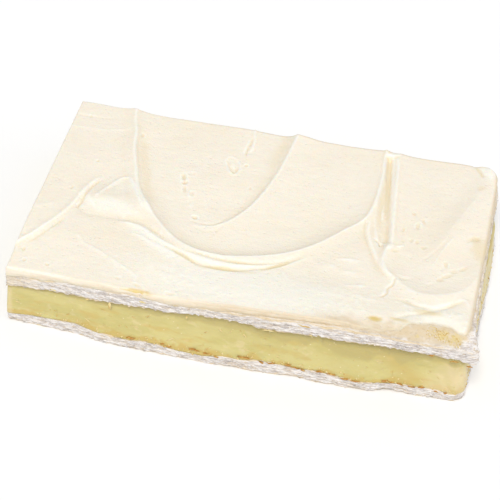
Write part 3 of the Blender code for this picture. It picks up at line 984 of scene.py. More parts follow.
def make_piece(name: str, points: Array, faces: list, material: bpy.types.Material,
               masks: dict[str, list] | None = None) -> bpy.types.Object:
    """Make a piece from its points and faces.

    Args:
        name: The piece's name.
        points: Plan points, in millimetres.
        faces: Corners of each face.
        material: Its finish.
        masks: Painted masks, in parts that follow the points. Points past the last part get 0.

    Returns:
        The piece.
    """
    piece = mesh_object(name, place(points), faces)
    for mask, parts in (masks or {}).items():
        values = np.zeros(len(points), np.float32)
        given = np.concatenate(parts)
        values[: len(given)] = np.clip(given, 0.0, 1.0)
        piece.data.attributes.new(mask, "FLOAT", "POINT").data.foreach_set("value", values)
    piece.data.materials.append(material)
    piece.data.shade_smooth()
    piece.data.update()
    return piece


def stand_for(piece: bpy.types.Object, node: str | None) -> None:
    """Let a piece ride on the slice.

    Args:
        piece: The piece.
        node: The CAD node that it stands for, if any.
    """
    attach(piece, "root")
    if node:
        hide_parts(node)
    log.info("%s: %d faces", piece.name, len(piece.data.polygons))


def rounded(x: Array, y: Array, corner: tuple, radius: float, sign: tuple,
            most: float = 1.0) -> tuple[Array, Array]:
    """Turn a square corner of the plan into a round one.

    Args:
        x: Places along the slice.
        y: Places across it.
        corner: Where the corner is.
        radius: Its new radius.
        sign: Which way it points along and across, as 1 or -1.
        most: How far out a place may lie, over the radius.

    Returns:
        The moved places.
    """
    middle_x, middle_y = corner[0] - sign[0] * radius, corner[1] - sign[1] * radius
    across = np.clip((x - middle_x) * sign[0] / radius, 0.0, most)
    out = np.clip((y - middle_y) * sign[1] / radius, 0.0, most)
    both = (across > 0) & (out > 0)
    round_x = middle_x + sign[0] * radius * across * np.sqrt(1.0 - out**2 / 2.0)
    round_y = middle_y + sign[1] * radius * out * np.sqrt(1.0 - across**2 / 2.0)
    return np.where(both, round_x, x), np.where(both, round_y, y)


@dataclass(frozen=True)
class Outline:
    """The plan of one layer, as evenly spaced points round it with their outward directions."""

    end: Knots
    advance: Knots  # how far the front stands out, as (x, distance)
    front_corner: float
    back_corner: float
    left: float = LEFT
    back: float = BACK
    left_corner: float = 0.5
    spacing: float = 0.32
    draft: int = 1200  # points on each side before they are spaced evenly

    def loop(self) -> tuple[Array, Array, Array]:
        """Walk round the outline from the left end of the front cut.

        Returns:
            The points, their outward directions and the distance walked to each.
        """
        along = np.linspace(0.0, 1.0, self.draft, endpoint=False)
        right_front = float(eased(np.array([FRONT]), self.end)[0])
        front_x = self.left + (right_front - self.left) * along
        front_y = front_line(front_x) - eased(front_x, self.advance)
        left_y, right_y = float(front_y[0]), float(front_y[-1])
        end_y = right_y + (self.back - right_y) * along
        end_x = eased(end_y, self.end)
        end_x = end_x + (right_front - end_x[0]) * (1 - along) ** 8
        back_x = end_x[-1] + (self.left - end_x[-1]) * along
        side_y = self.back + (left_y - self.back) * along
        x = np.concatenate([front_x, end_x, back_x, np.full(self.draft, self.left)])
        y = np.concatenate([front_y, end_y, np.full(self.draft, self.back), side_y])
        for corner, radius, sign in (
            ((right_front, right_y), self.front_corner, (1, -1)),
            ((float(end_x[-1]), self.back), self.back_corner, (1, 1)),
            ((self.left, self.back), self.left_corner, (-1, 1)),
            ((self.left, left_y), self.left_corner, (-1, -1)),
        ):
            x, y = rounded(x, y, corner, radius, sign, most=1.05)
        return self._even(np.append(x, x[0]), np.append(y, y[0]))

    def _even(self, x: Array, y: Array) -> tuple[Array, Array, Array]:
        """Space points evenly.

        Args:
            x: Places along the slice, closed.
            y: Places across it, closed.

        Returns:
            The points, their outward directions and the distance walked to each.
        """
        walked = np.concatenate([[0.0], np.cumsum(np.hypot(np.diff(x), np.diff(y)))])
        stops = np.linspace(0.0, walked[-1], round(walked[-1] / self.spacing), endpoint=False)
        points = np.stack([np.interp(stops, walked, x), np.interp(stops, walked, y)], axis=1)
        ahead = np.roll(points, -2, axis=0) - np.roll(points, 2, axis=0)
        ahead /= np.linalg.norm(ahead, axis=1)[:, None]
        return points, np.stack([ahead[:, 1], -ahead[:, 0]], axis=1), stops


def between(lower: Array, upper: Array) -> Array:
    """Faces between two rings, from the numbers of their points."""
    return np.stack([lower, np.roll(lower, -1), np.roll(upper, -1), upper], axis=1)


def grid_faces(rows: int, columns: int) -> Array:
    """Faces of a grid of points."""
    grid = np.arange(rows * columns).reshape(rows, columns)
    return np.stack([grid[:-1, :-1], grid[:-1, 1:], grid[1:, 1:], grid[1:, :-1]], axis=-1).reshape(-1, 4)


def band(rings: list[Array]) -> list:
    """Skin an open band through rings.

    Args:
        rings: Rings of points, from the lowest up.

    Returns:
        The faces.
    """
    here = np.arange(len(rings[0]))
    levels = [here + level * len(here) for level in range(len(rings))]
    return np.vstack([between(lower, upper) for lower, upper in zip(levels, levels[1:])]).tolist()


def shell(rings: list[Array]) -> tuple[Array, list]:
    """Skin a stack of rings, closed by a fan at each end.

    Args:
        rings: Rings of points, from the middle of the bottom, out, up and in to the middle of the top.

    Returns:
        The points and the faces.
    """
    points = np.vstack([*rings, rings[0].mean(axis=0)[None], rings[-1].mean(axis=0)[None]])
    count, below, above = len(rings[0]), len(points) - 2, len(points) - 1
    here = np.arange(count)
    there = np.roll(here, -1)
    last = (len(rings) - 1) * count
    bottom = np.stack([there, here, np.full(count, below)], axis=1).tolist()
    top = np.stack([last + here, last + there, np.full(count, above)], axis=1).tolist()
    return points, [*band(rings), *bottom, *top]


def drawn_in(points: Array, inset: float) -> Array:
    """Draw a loop in towards the middle of the slice.

    Args:
        points: The loop.
        inset: How far, in millimetres.

    Returns:
        The smaller loop.
    """
    half = np.array([(RIGHT - LEFT) / 2, (BACK - FRONT) / 2])
    middle = np.array([(RIGHT + LEFT) / 2, (BACK + FRONT) / 2])
    return middle + (points - middle) * (1.0 - inset / half)


@dataclass
class PastrySheet:
    """A sheet of puff pastry, whose cut sides show its leaves."""

    name: str
    node: str
    outline: Outline
    material: bpy.types.Material
    seed: int
    under: Surface  # height of its bottom
    over: Surface  # height of its top
    leaves: int = 12
    rows: int = 44
    ragged: float = 0.34
    below_insets: tuple = (30.0, 4.0, 1.0)
    top_insets: tuple = (0.15, 0.4, 0.8, 1.3, 2.0, 3.0, 5.0, 20.0)
    tanned: float = 0.0  # how browned its ends are
    bare: float = 90.0  # beyond this x the sheet is broken, and has lost its browned skin
    rings: list = field(default_factory=list)

    def build(self) -> bpy.types.Object:
        """Model the sheet.

        Returns:
            The piece.
        """
        loop, outward, walked = self.outline.loop()
        x, y = loop.T
        low, high = self.under(x, y), self.over(x, y)
        left = 0.55 * smooth((-53.0 - x) / 8.0) * (y < 0.0) * self.tanned
        torn = smooth((x - self.bare) / 4.0) * smooth((-26.0 - y) / 5.0)
        end = smooth((x - 64.5) / 1.0) * smooth((y + 31.0) / 5.0)
        browned = 1.0 - np.maximum(0.8 * torn, 0.75 * end)
        under_points = len(self.below_insets) * len(loop)
        masks = {"skin": [np.full(under_points, 0.6)], "groove": [np.zeros(under_points)],
                 "yolk": [np.zeros(under_points + self.rows * len(loop))]}
        for row in range(self.rows):
            up = row / (self.rows - 1)
            out, groove = self._cut(walked, up)
            wave = 0.10 * self._grain(walked, 3.1, up * 3.0, 9)
            height = low + (high - low) * up + wave * math.sin(math.pi * up) + self._fray(walked, up)
            side = loop + outward * out[:, None]
            self.rings.append(np.column_stack([side, np.maximum(height, LIFT)]))
            rim = 0.75 * end * self.tanned * smooth((up - 0.6) / 0.2)
            masks["skin"].append(np.maximum.reduce([browned * self._skin(walked, up), rim, left]))
            # painted shade in the gaps and pockets between leaves, with the tan shreds along the foot
            masks["groove"].append(browned * np.maximum(groove, self._fringe(walked, up)))
        below = [self._inner(self.rings[0], inset, self.under) for inset in self.below_insets]
        above = [self._inner(self.rings[-1], inset, self.over) for inset in self.top_insets]
        masks["skin"] += [*(self._top_skin(*ring.T[:2]) for ring in above), [0.6, 1.0]]
        masks["yolk"] += [self._yolk(*ring.T[:2]) for ring in above]
        piece = make_piece(self.name, *shell([*below, *self.rings, *above]), self.material, masks)
        stand_for(piece, self.node)
        return piece

    @staticmethod
    def _top_skin(x: Array, y: Array) -> Array:
        """How browned the top is.

        Args:
            x: Places along the slice.
            y: Places across it.

        Returns:
            The mask: 1 all over, but for the broken white corner at the right front.
        """
        edge = 64.8 + 0.75 * np.minimum(y + 34.6, 0.0)
        broken = smooth((x - edge + 0.9 * grain(x / 1.6, y / 1.6, 61)) / 1.2)
        rind = smooth((front_line(x) + 1.2 + 0.4 * grain(x / 1.5, y / 1.5, 62) - y) / 0.8) * 0.7
        return 1.0 - np.maximum(broken, rind)

    @staticmethod
    def _yolk(x: Array, y: Array) -> Array:
        """Yellow crumbs baked on near the right front corner."""
        near = np.exp(-((((x - 59.6) / 3.6) ** 2 + ((y + 36.4) / 2.0) ** 2) ** 1.5))
        return near * smooth((grain(x, y, 63) + 0.25) / 0.5)

    @staticmethod
    def _inner(side: Array, inset: float, height: Surface) -> Array:
        """A ring on the sheet's top or bottom.

        Args:
            side: The nearest ring of the cut side.
            inset: How far in from it.
            height: Height of the surface.

        Returns:
            The ring.
        """
        ring = drawn_in(side[:, :2], inset)
        near = math.exp(-inset / 0.8)
        level = height(*ring.T) * (1.0 - near) + side[:, 2] * near
        return np.column_stack([ring, np.maximum(level, LIFT)])

    def _grain(self, walked: Array, size: float, row: Array | float, which: int) -> Array:
        """Relief of the cut side, with features of one size along it."""
        return grain(walked / size, row, self.seed + which)

    def _cut(self, walked: Array, up: float) -> tuple[Array, Array]:
        """How far the cut side stands out at one height, and how much painted shade its gaps and pockets get.

        Args:
            walked: Distance round the outline.
            up: Height in the sheet, from 0 to 1.

        Returns:
            The outward distance and the painted shade mask.
        """
        seat = self.leaves * up + 0.8 * self._grain(walked, 9.0, up * 3.0, 0)
        seat = seat + 0.35 * self._grain(walked, 2.4, up * 5.0, 1)
        leaf = np.floor(seat)
        part = seat - leaf
        here, above = (0.5 * self._grain(walked, 2.6, which, 4) + 0.5 * self._grain(walked, 0.7, which, 5)
                       for which in (leaf, leaf + 1))
        edge = here + (above - here) * smooth(part * 2.0 - 0.5)
        seam = 1.0 - smooth(np.minimum(part, 1.0 - part) / 0.30)
        gap = seam * (0.5 + 0.5 * self._grain(walked, 1.7, leaf, 2))
        pocket = np.clip(self._grain(walked, 3.6, up * 4.0, 3) - 0.4, 0.0, 1.0)
        round_edge = 0.25 * (abs(2.0 * up - 1.0) ** 6)
        out = self.ragged * edge - 0.16 * gap - 0.4 * pocket - round_edge - 0.1
        return out, np.clip(0.25 * gap + 0.8 * pocket, 0.0, 0.6)

    def _fray(self, walked: Array, up: float) -> Array:
        """Uneven top and bottom edges of the cut side.

        Args:
            walked: Distance round the outline.
            up: Height in the sheet, from 0 to 1.

        Returns:
            How much higher each place lies.
        """
        top = 0.2 * self._grain(walked, 1.3, 0.0, 6) * max(0.0, 2.0 * up - 1.0)
        foot = 0.28 * self._grain(walked, 2.3, 0.0, 7) + 0.3 * self._grain(walked, 0.7, 0.0, 11)
        return top + foot * max(0.0, 1.0 - 2.5 * up)

    def _fringe(self, walked: Array, up: float) -> Array:
        """Tan shreds along the lower edge of the cut side."""
        return 0.8 * smooth((0.10 + 0.12 * self._grain(walked, 0.9, 3.0 * up, 12) - up) / 0.06)

    def _skin(self, walked: Array, up: float) -> Array:
        """How browned the cut side is at one height.

        Args:
            walked: Distance round the outline.
            up: Height in the sheet, from 0 to 1.

        Returns:
            The mask: browned near the top and the foot.
        """
        top = smooth((up - (0.86 + 0.07 * self._grain(walked, 4.0, 0.0, 8))) / 0.08)
        foot = 0.9 * smooth((0.13 + 0.06 * self._grain(walked, 1.6, 1.0, 8) - up) / 0.08)
        return np.maximum(top, foot)


@dataclass
class CustardSlab:
    """The slab of set custard between the sheets."""

    material: bpy.types.Material
    outline: Outline = Outline(CUSTARD_END, CUSTARD_ADVANCE, 3.4, 3.0, -65.5, 39.4, 0.6, 0.42)
    rows: int = 34
    insets: tuple = (3.0, 30.0)
    tuck: float = 0.4  # how far it runs under and over the sheets' faces
    setback: Knots = CUSTARD_SETBACK
    lean_power: float = 1.4
    shadow_depth: Knots = CUSTARD_SHADOW_DEPTH  # depth of the painted shadow band under the top sheet
    flecks: tuple = (
        (-40.4, 13.9, 0.5), (-36.0, 13.2, 0.3), (-23.0, 9.5, 0.35), (46.0, 7.4, 0.5), (39.0, 11.2, 0.35),
    )  # ochre specks on the front cut, each an x, a height and half a width
    rings: list = field(default_factory=list)

    def build(self) -> bpy.types.Object:
        """Model the slab.

        Returns:
            The piece.
        """
        loop, outward, walked = self.outline.loop()
        x, y = loop.T
        low, high = base_top(x, y) - self.tuck, custard_top(x, y) + self.tuck
        back_off = np.where(y < FRONT + 4.0, eased(x, self.setback), 0.6)
        ends = np.zeros(len(self.insets) * len(loop))
        masks = {"ochre": [ends], "peach": [ends], "shade": [ends]}
        for row in range(self.rows):
            up = row / (self.rows - 1)
            lean = 0.3 * (1.0 - up) ** 2 - back_off * up**self.lean_power
            knife = 0.14 * grain(walked / 14.0, up * 2.0, 31) + 0.06 * grain(walked / 4.0, up * 7.0, 32)
            dimple = -0.22 * smooth((grain(walked / 1.6, up * 9.0, 33) - 0.72) / 0.2)
            side = loop + outward * (lean + knife + dimple)[:, None]
            self.rings.append(np.column_stack([side, low + (high - low) * up]))
            masks["ochre"].append(self._ochre(self.rings[-1], walked, up))
            masks["peach"].append(self._peach(x, y, up))
            masks["shade"].append(self._shade(x, y, up))
        masks["shade"] += [ends, np.ones(2)]
        first, last = self.rings[0], self.rings[-1]
        below = [np.column_stack([drawn_in(first[:, :2], inset), first[:, 2]]) for inset in self.insets[::-1]]
        above = [np.column_stack([drawn_in(last[:, :2], inset), last[:, 2]]) for inset in self.insets]
        piece = make_piece("custard_slab", *shell([*below, *self.rings, *above]), self.material, masks)
        stand_for(piece, "custard")
        return piece

    def _ochre(self, side: Array, walked: Array, up: float) -> Array:
        """Ochre parts of the side.

        Args:
            side: A ring of the side.
            walked: Distance round it.
            up: Its height in the slab, from 0 to 1.

        Returns:
            The mask: where the custard meets the base sheet, in a slanting smear at the right and in flecks.
        """
        foot = 0.14 + 0.10 * grain(walked / 4.0, 0.0, 34) + 0.05 * grain(walked / 1.1, 0.0, 36)
        slant = np.abs(side[:, 0] - 39.0 - 16.0 * (1.0 - up)) / 4.0
        at_front = side[:, 1] < FRONT + 6.0
        smear = np.exp(-(slant**2)) * at_front * smooth((up - 0.05) / 0.1)
        mask = np.maximum(0.85 * smooth((foot - up) / 0.07), 0.6 * smear)
        for x, z, half in self.flecks:
            away = ((side[:, 0] - x) ** 2 + (side[:, 2] - z) ** 2) / half**2
            mask = np.maximum(mask, np.exp(-(away**2)) * at_front)
        return mask

    @staticmethod
    def _peach(x: Array, y: Array, up: float) -> Array:
        """Pale patches at both ends of the front cut.

        Args:
            x: Places along the slice.
            y: Places across it.
            up: Height in the slab, from 0 to 1.

        Returns:
            The mask.
        """
        at_front = smooth((FRONT + 13.0 - y) / 9.0)
        streak = 0.5 + 0.5 * grain((x + 7.0 * up) / 2.0, up * 2.0, 35)
        right = smooth((x - 52.0 - 5.0 * up) / 7.0) * smooth((0.9 - up) / 0.15)
        left = smooth((-63.4 - x) / 1.0)
        end = 0.4 * smooth((x - 65.0) / 1.0)
        return np.maximum(at_front * np.maximum(0.9 * right * streak, 0.45 * left), end)

    def _shade(self, x: Array, y: Array, up: float) -> Array:
        """Painted shadow on the custard just under the top sheet's overhang.

        Args:
            x: Places along the slice.
            y: Places across it.
            up: Height in the slab, from 0 to 1.

        Returns:
            The mask.
        """
        depth = eased(x, self.shadow_depth) * (1.0 + 0.25 * grain(x / 3.0, 0.0, 37))
        down = 12.0 - 12.5 * up
        strong = 0.85 * smooth((depth - down) / (0.28 * depth))
        faint = 0.2 * smooth((2.2 * depth - down) / (1.1 * depth))
        return np.maximum(strong, faint) * smooth((FRONT + 8.0 - y) / 6.0)


@dataclass
class IcingCoat:
    """The icing: a finely modelled top and soft knife-cut sides."""

    material: bpy.types.Material
    columns: int = 356
    rows: int = 218
    edge: float = 0.5  # radius of its upper edge
    browning: float = 2.3  # width of the darker rim along its cut edges
    side_rings: int = 9
    depth: float = 80.0  # from front to back, near enough for its edges

    def build(self) -> bpy.types.Object:
        """Model the coat.

        Returns:
            The piece.
        """
        u, v = np.meshgrid(np.linspace(0, 1, self.columns), np.linspace(0, 1, self.rows))
        x, y, away = self._plan(u, v)
        top = self._tapered(x, y, v, icing_top(x, y))
        near = np.clip(1.0 - away / self.edge, 0.0, 1.0)
        height = top - self.edge * (1.0 - np.sqrt(1.0 - near**2))
        points = np.column_stack([x.ravel(), y.ravel(), height.ravel()])
        grid = np.arange(len(points)).reshape(self.rows, self.columns)
        border = np.concatenate([grid[0, :-1], grid[:-1, -1], grid[-1, :0:-1], grid[:0:-1, 0]])
        rings, side_faces, side_mask = self._sides(points, border)
        # Painted shade where the top lies below its surroundings, in the shade patches and in the pits
        hollow = painted(SHADE_PATCHES, x, y) + np.maximum.reduce([
            0.8 * smooth((self._bend(top, 4) - 0.03) / 0.40),
            0.85 * smooth((self._bend(top, 2) - 0.02) / 0.17),
            0.35 * smooth((self._bend(top, 9) - 0.05) / 0.35),
            self._pit_shade(x, y),
        ])
        # Painted highlights on convex crests and in the highlight patches
        crest = 0.85 * smooth((-self._bend(top, 2) - 0.012) / 0.07) + painted(HIGHLIGHT_PATCHES, x, y)
        masks = {
            "hollow": [hollow.ravel()],
            "crest": [crest.ravel()],
            "side": [self._rim(x, v, away).ravel(), side_mask, [1.0]],
            "stain": [self._stain_and_shade(x, y).ravel()],
        }
        every = np.vstack([points, *rings, rings[-1].mean(axis=0)[None]])
        faces = [*grid_faces(self.rows, self.columns).tolist(), *side_faces]
        piece = make_piece("icing_coat", every, faces, self.material, masks)
        stand_for(piece, "icing")
        return piece

    @staticmethod
    def _pit_shade(x: Array, y: Array) -> Array:
        """Painted shade in the small pits.

        Args:
            x: Places along the slice.
            y: Places across it.

        Returns:
            The mask.
        """
        pits = [mark.shade(x, y) for mark in DABS if mark.height < -0.14]
        deep = [mark.shade(x, y) for mark in DABS if mark.height < -0.4]
        return np.minimum(0.7 * np.maximum.reduce(pits) + 0.3 * np.maximum.reduce(deep), 1.0)

    @staticmethod
    def _stain_and_shade(x: Array, y: Array) -> Array:
        """Yellow stains where custard touched the icing, broken up in the tear at the left of the front, and
        painted shade along the lower fold.
        """
        broken = smooth((grain(x / 1.3, y / 0.8, 29) + 0.7) / 0.6)
        return painted(STAINS_AND_FOLD_SHADE, x, y) + painted([TEAR], x, y) * broken

    def _rim(self, x: Array, v: Array, away: Array) -> Array:
        """How far the tan of the cut side is painted on to the top near each place.

        Args:
            x: Places along the slice.
            v: Share of the way back.
            away: Distance to the outline.

        Returns:
            The mask: a narrow rim all round, which grows towards the right and is painted shade over the
                rounded edge, and a wide one where the icing thins out at the right front.
        """
        strength = 0.4 * smooth((x + 55.0) / 14.0) + 0.6 * smooth((x + 20.0) / 20.0)
        narrow = smooth(1.0 - away / self.edge / 2.2) * strength
        thin = smooth((x - 20.0) / 10.0) * smooth((50.0 - x) / 5.0)
        behind = self.depth * v
        deep = behind + 0.8 * grain(x / 1.8, behind / 1.2, 27) + 0.3 * grain(x / 0.6, behind / 0.5, 28)
        wide = 0.95 * thin * smooth(1.0 - deep / (2.0 * self.browning))
        return np.maximum(narrow, wide)

    def _tapered(self, x: Array, y: Array, v: Array, top: Array) -> Array:
        """Thin the icing out towards its front edge at the right, where the sheet shows in front of it.

        Args:
            x: Places along the slice.
            y: Places across it.
            v: Share of the way back.
            top: Full height.

        Returns:
            The height of the icing's top.
        """
        thin = smooth((x - 26.0) / 14.0) * np.exp(-((v * self.depth / 2.6) ** 1.5))
        least = sheet_top(x, y) + 0.3 - 0.16 * smooth((x - 36.0) / 8.0)
        return np.maximum(top * (1.0 - thin) + least * thin, least)

    @staticmethod
    def _plan(u: Array, v: Array) -> tuple[Array, Array, Array]:
        """Lay the grid over the icing's outline.

        Args:
            u: Share of the way along.
            v: Share of the way back.

        Returns:
            The places along and across, and the distance to the outline.
        """
        right = eased(FRONT + (BACK - FRONT) * v, ICING_END)
        left = LEFT - 0.3
        x = left + (right - left) * u
        wander = 0.16 * grain(x / 5.0, 0.0, 21) + 0.08 * grain(x / 1.6, 0.0, 22)
        torn = np.exp(-(((x + 27.8) / 3.0) ** 4)) * (0.5 + 0.3 * grain(x / 0.9, 0.0, 26))
        wander = wander * (1.0 + 2.0 * smooth((x - 24.0) / 10.0))
        front = front_line(x) + eased(x, ICING_SETBACK) + torn + wander
        back = BACK + 0.15 * grain(x / 6.0, 0.0, 23)
        y = front + (back - front) * v
        for radius, at, toward in ((5.5, back, 1), (2.0, front, -1)):
            x, y = rounded(x, y, (right, at), radius, (1, toward))
        along, deep = right - left, back - front
        return x, y, np.minimum.reduce([along * u, along * (1 - u), deep * v, deep * (1 - v)])

    def _sides(self, points: Array, border: Array) -> tuple[list, list, Array]:
        """Carry the border down to the sheet below.

        Args:
            points: Points of the top.
            border: Which of them lie on the border, in order.

        Returns:
            The rings of points, the faces between them and the side mask.
        """
        start = points[border]
        x, y, top = start.T
        ahead = np.roll(start, -2, axis=0) - np.roll(start, 2, axis=0)
        length = np.maximum(np.hypot(ahead[:, 0], ahead[:, 1]), 1e-6)
        outward = np.stack([ahead[:, 1] / length, -ahead[:, 0] / length], axis=1)
        foot = sheet_top(x, y) - 0.25
        walked = np.cumsum(length) / 4.0
        right = 0.15 * smooth((x + 60.0) / 20.0) + 0.35 * smooth((x + 25.0) / 25.0)
        rings, masks, faces, upper = [], [], [], border
        for ring in range(1, self.side_rings + 1):
            down = ring / self.side_rings
            spread = 0.10 * math.sin(math.pi * min(down, 0.8)) + 0.14 * grain(walked / 2.2, down * 2, 24)
            side = start[:, :2] + outward * (spread * min(1.0, 2.0 * down))[:, None]
            rings.append(np.column_stack([side, top + (foot - top) * down]))
            low = smooth((down - 0.1 + 0.25 * grain(walked / 3.0, 0.0, 25)) / 0.7)
            # tan on the cut side, deeper towards its foot and the right, partly painted shade
            masks.append(0.2 + 0.4 * low + right)
            lower = len(points) + (ring - 1) * len(border) + np.arange(len(border))
            faces += between(lower, upper).tolist()
            upper = lower
        last = np.full(len(border), len(points) + self.side_rings * len(border))
        faces += np.stack([np.roll(upper, -1), upper, last], axis=1).tolist()
        return rings, faces, np.concatenate(masks)

    @staticmethod
    def _bend(top: Array, reach: int) -> Array:
        """How far each place lies below its surroundings.

        Args:
            top: Heights over the grid.
            reach: How many steps of the grid away the surroundings are.

        Returns:
            The depth, below 0 on a crest.
        """
        margin = 2 * reach
        steps = range(-reach, reach + 1)
        padded = np.pad(top, margin, mode="edge")
        for axis in (0, 1):
            padded = sum(np.roll(padded, step, axis=axis) for step in steps) / len(steps)
        return padded[margin:-margin, margin:-margin] - top


@dataclass(frozen=True)
class Drops:
    """Small flat drops, baked on along an edge of the front cut."""

    name: str
    advance: Knots  # how far the edge stands out, as (x, distance)
    material: bpy.types.Material
    places: tuple  # each an x, a height, half a width and half a thickness
    proud: float = 0.4
    thick: float = 0.28
    around: int = 16
    levels: int = 9

    def build(self) -> bpy.types.Object:
        """Model the drops.

        Returns:
            The piece.
        """
        points, faces = np.zeros((0, 3)), []
        for number, spot in enumerate(self.places):
            drop, skin = shell([self._ring(spot, number, level) for level in range(1, self.levels)])
            faces += [[corner + len(points) for corner in face] for face in skin]
            points = np.vstack([points, drop])
        piece = make_piece(self.name, points, faces, self.material)
        stand_for(piece, None)
        return piece

    def _ring(self, spot: tuple[float, float, float, float], number: int, level: int) -> Array:
        """One level ring of a drop.

        Args:
            spot: The drop's x, height, half width and half thickness.
            number: Which drop it is.
            level: Which ring, from the bottom.

        Returns:
            The ring.
        """
        x, z, half, tall = spot
        tilt = math.pi * (level / self.levels - 0.5)
        turn = np.arange(self.around) * math.tau / self.around
        ragged = 1.0 + 0.5 * grain(2.0 * np.cos(turn) + 9.0 * number, 2.0 * np.sin(turn) + 0.8 * level, 71)
        along = x + half * math.cos(tilt) * np.cos(turn) * ragged
        front = front_line(along) - eased(along, self.advance) - self.proud
        height = z + tall * math.sin(tilt) + 0.25 * grain(along / 0.9, number, 72)
        return np.column_stack([along, front + self.thick * math.cos(tilt) * np.sin(turn), height])


class Shred(Enum):
    """What a scatter of small things is made of."""

    FLAKE = "flake"
    CRUMB = "crumb"


@dataclass
class Scatter:
    """Small things strewn over a host surface by Geometry Nodes."""

    name: str
    shred: Shred
    material: bpy.types.Material
    density: float  # how many for each square millimetre
    smallest: float
    largest: float
    seed: int
    tilt: float = 0.5

    def strew(self, host: bpy.types.Object) -> bpy.types.Object:
        """Strew the things over a host.

        Args:
            host: A surface, which is removed afterwards.

        Returns:
            The piece, as a plain mesh.
        """
        points, faces = shell(self._flake() if self.shred is Shred.FLAKE else self._crumb())
        shape = mesh_object(f"{self.name}_shape", points * MM, faces, linked=False)
        modifier = host.modifiers.new("strew", "NODES")
        modifier.node_group = self._tree(shape)
        values = {"Density": self.density / MM**2, "Smallest": self.smallest, "Largest": self.largest,
                  "Tilt": self.tilt, "Seed": self.seed, "Finish": self.material}
        for item in modifier.node_group.interface.items_tree:
            if item.in_out == "INPUT" and item.name in values:
                modifier[item.identifier] = values[item.name]
        graph = bpy.context.evaluated_depsgraph_get()
        mesh = bpy.data.meshes.new_from_object(host.evaluated_get(graph))
        mesh.name = self.name
        host.modifiers.remove(modifier)
        piece = bpy.data.objects.new(self.name, mesh)
        bpy.context.scene.collection.objects.link(piece)
        for spare in (host, shape):
            bpy.data.objects.remove(spare)
        mesh.shade_smooth()
        stand_for(piece, None)
        return piece

    @staticmethod
    def _flake() -> list[Array]:
        """Shape a thin bent leaf, 1 mm long, pointed at its ends.

        Returns:
            Its rings.
        """
        rings = []
        for x, half in ((-0.5, 0.02), (-0.3, 0.07), (0.0, 0.11), (0.28, 0.08), (0.5, 0.02)):
            z = 0.18 * x * x
            corners = ((-half, z), (0.0, z - 0.03), (half, z + 0.02), (0.0, z + 0.03))
            rings.append(np.array([(x, *corner) for corner in corners]))
        return rings

    @staticmethod
    def _crumb(around: int = 7) -> list[Array]:
        """Rings of a rough lump, 1 mm across.

        Args:
            around: How many points each ring has.

        Returns:
            The rings.
        """
        rings = []
        for level, (height, radius) in enumerate(((-0.42, 0.2), (-0.15, 0.46), (0.18, 0.42), (0.42, 0.18))):
            turn = np.arange(around) * math.tau / around + 0.4 * level
            out = radius * (1.0 + 0.25 * lattice(np.arange(around), level, 41))
            rings.append(np.column_stack([out * np.cos(turn), out * np.sin(turn), np.full(around, height)]))
        return rings

    def _tree(self, shape: bpy.types.Object) -> bpy.types.GeometryNodeTree:
        """Make the node tree.

        Args:
            shape: The thing to strew.

        Returns:
            The tree.
        """
        group = bpy.data.node_groups.new(f"{self.name}_tree", "GeometryNodeTree")
        for name, kind in (("Geometry", "Geometry"), ("Density", "Float"), ("Smallest", "Float"),
                           ("Largest", "Float"), ("Tilt", "Float"), ("Seed", "Int"), ("Finish", "Material")):
            group.interface.new_socket(name=name, in_out="INPUT", socket_type=f"NodeSocket{kind}")
        group.interface.new_socket(name="Geometry", in_out="OUTPUT", socket_type="NodeSocketGeometry")
        tree = Tree(group)
        given = tree.node("NodeGroupInput").outputs
        points = tree.node("GeometryNodeDistributePointsOnFaces", {"distribute_method": "RANDOM"},
                           {"Mesh": given["Geometry"], "Density": given["Density"], "Seed": given["Seed"]})
        facing = tree.node("FunctionNodeAlignRotationToVector", {"axis": "Y", "pivot_axis": "Z"},
                           {"Vector": points.outputs["Normal"]})
        ends = []
        for sign in (-1.0, 1.0):
            parts = {}
            for axis, share in (("X", 1.0), ("Y", 0.7), ("Z", 0.5)):
                part = tree.node("ShaderNodeMath", {"operation": "MULTIPLY"},
                                 {0: given["Tilt"], 1: sign * share})
                parts[axis] = part.outputs[0]
            ends.append(tree.node("ShaderNodeCombineXYZ", None, parts).outputs[0])
        turn = tree.node("FunctionNodeRandomValue", {"data_type": "FLOAT_VECTOR"},
                         {0: ends[0], 1: ends[1], "Seed": given["Seed"]})
        rotation = tree.node("FunctionNodeRotateRotation", {"rotation_space": "LOCAL"},
                             {"Rotation": facing.outputs[0], "Rotate By": turn.outputs["Value"]})
        size = tree.node("FunctionNodeRandomValue", {"data_type": "FLOAT"},
                         {2: given["Smallest"], 3: given["Largest"], "Seed": given["Seed"]})
        thing = tree.node("GeometryNodeObjectInfo", {"transform_space": "ORIGINAL"},
                          {"Object": shape, "As Instance": True})
        strewn = tree.node("GeometryNodeInstanceOnPoints", None,
                           {"Points": points.outputs["Points"], "Instance": thing.outputs["Geometry"],
                            "Rotation": rotation.outputs[0], "Scale": size.outputs[1]})
        real = tree.node("GeometryNodeRealizeInstances", None, {"Geometry": strewn.outputs[0]})
        dressed = tree.node("GeometryNodeSetMaterial", None,
                            {"Geometry": real.outputs[0], "Material": given["Finish"]})
        tree.node("NodeGroupOutput", None, {"Geometry": dressed.outputs[0]})
        return group


def patch_host(name: str, middle: tuple[float, float], half: tuple[float, float],
               turn: float) -> bpy.types.Object:
    """A small patch of the top sheet's surface, on which crumbs are strewn.

    Args:
        name: Its name.
        middle: Its middle in the plan.
        half: Half its length and half its width.
        turn: Degrees it is turned by.

    Returns:
        The patch.
    """
    along, across = np.meshgrid(np.linspace(-half[0], half[0], 13), np.linspace(-half[1], half[1], 7))
    c, s = math.cos(math.radians(turn)), math.sin(math.radians(turn))
    x = middle[0] + (along * c - across * s).ravel()
    y = middle[1] + (along * s + across * c).ravel()
    return mesh_object(name, place(np.column_stack([x, y, sheet_top(x, y)])), grid_faces(*along.shape))


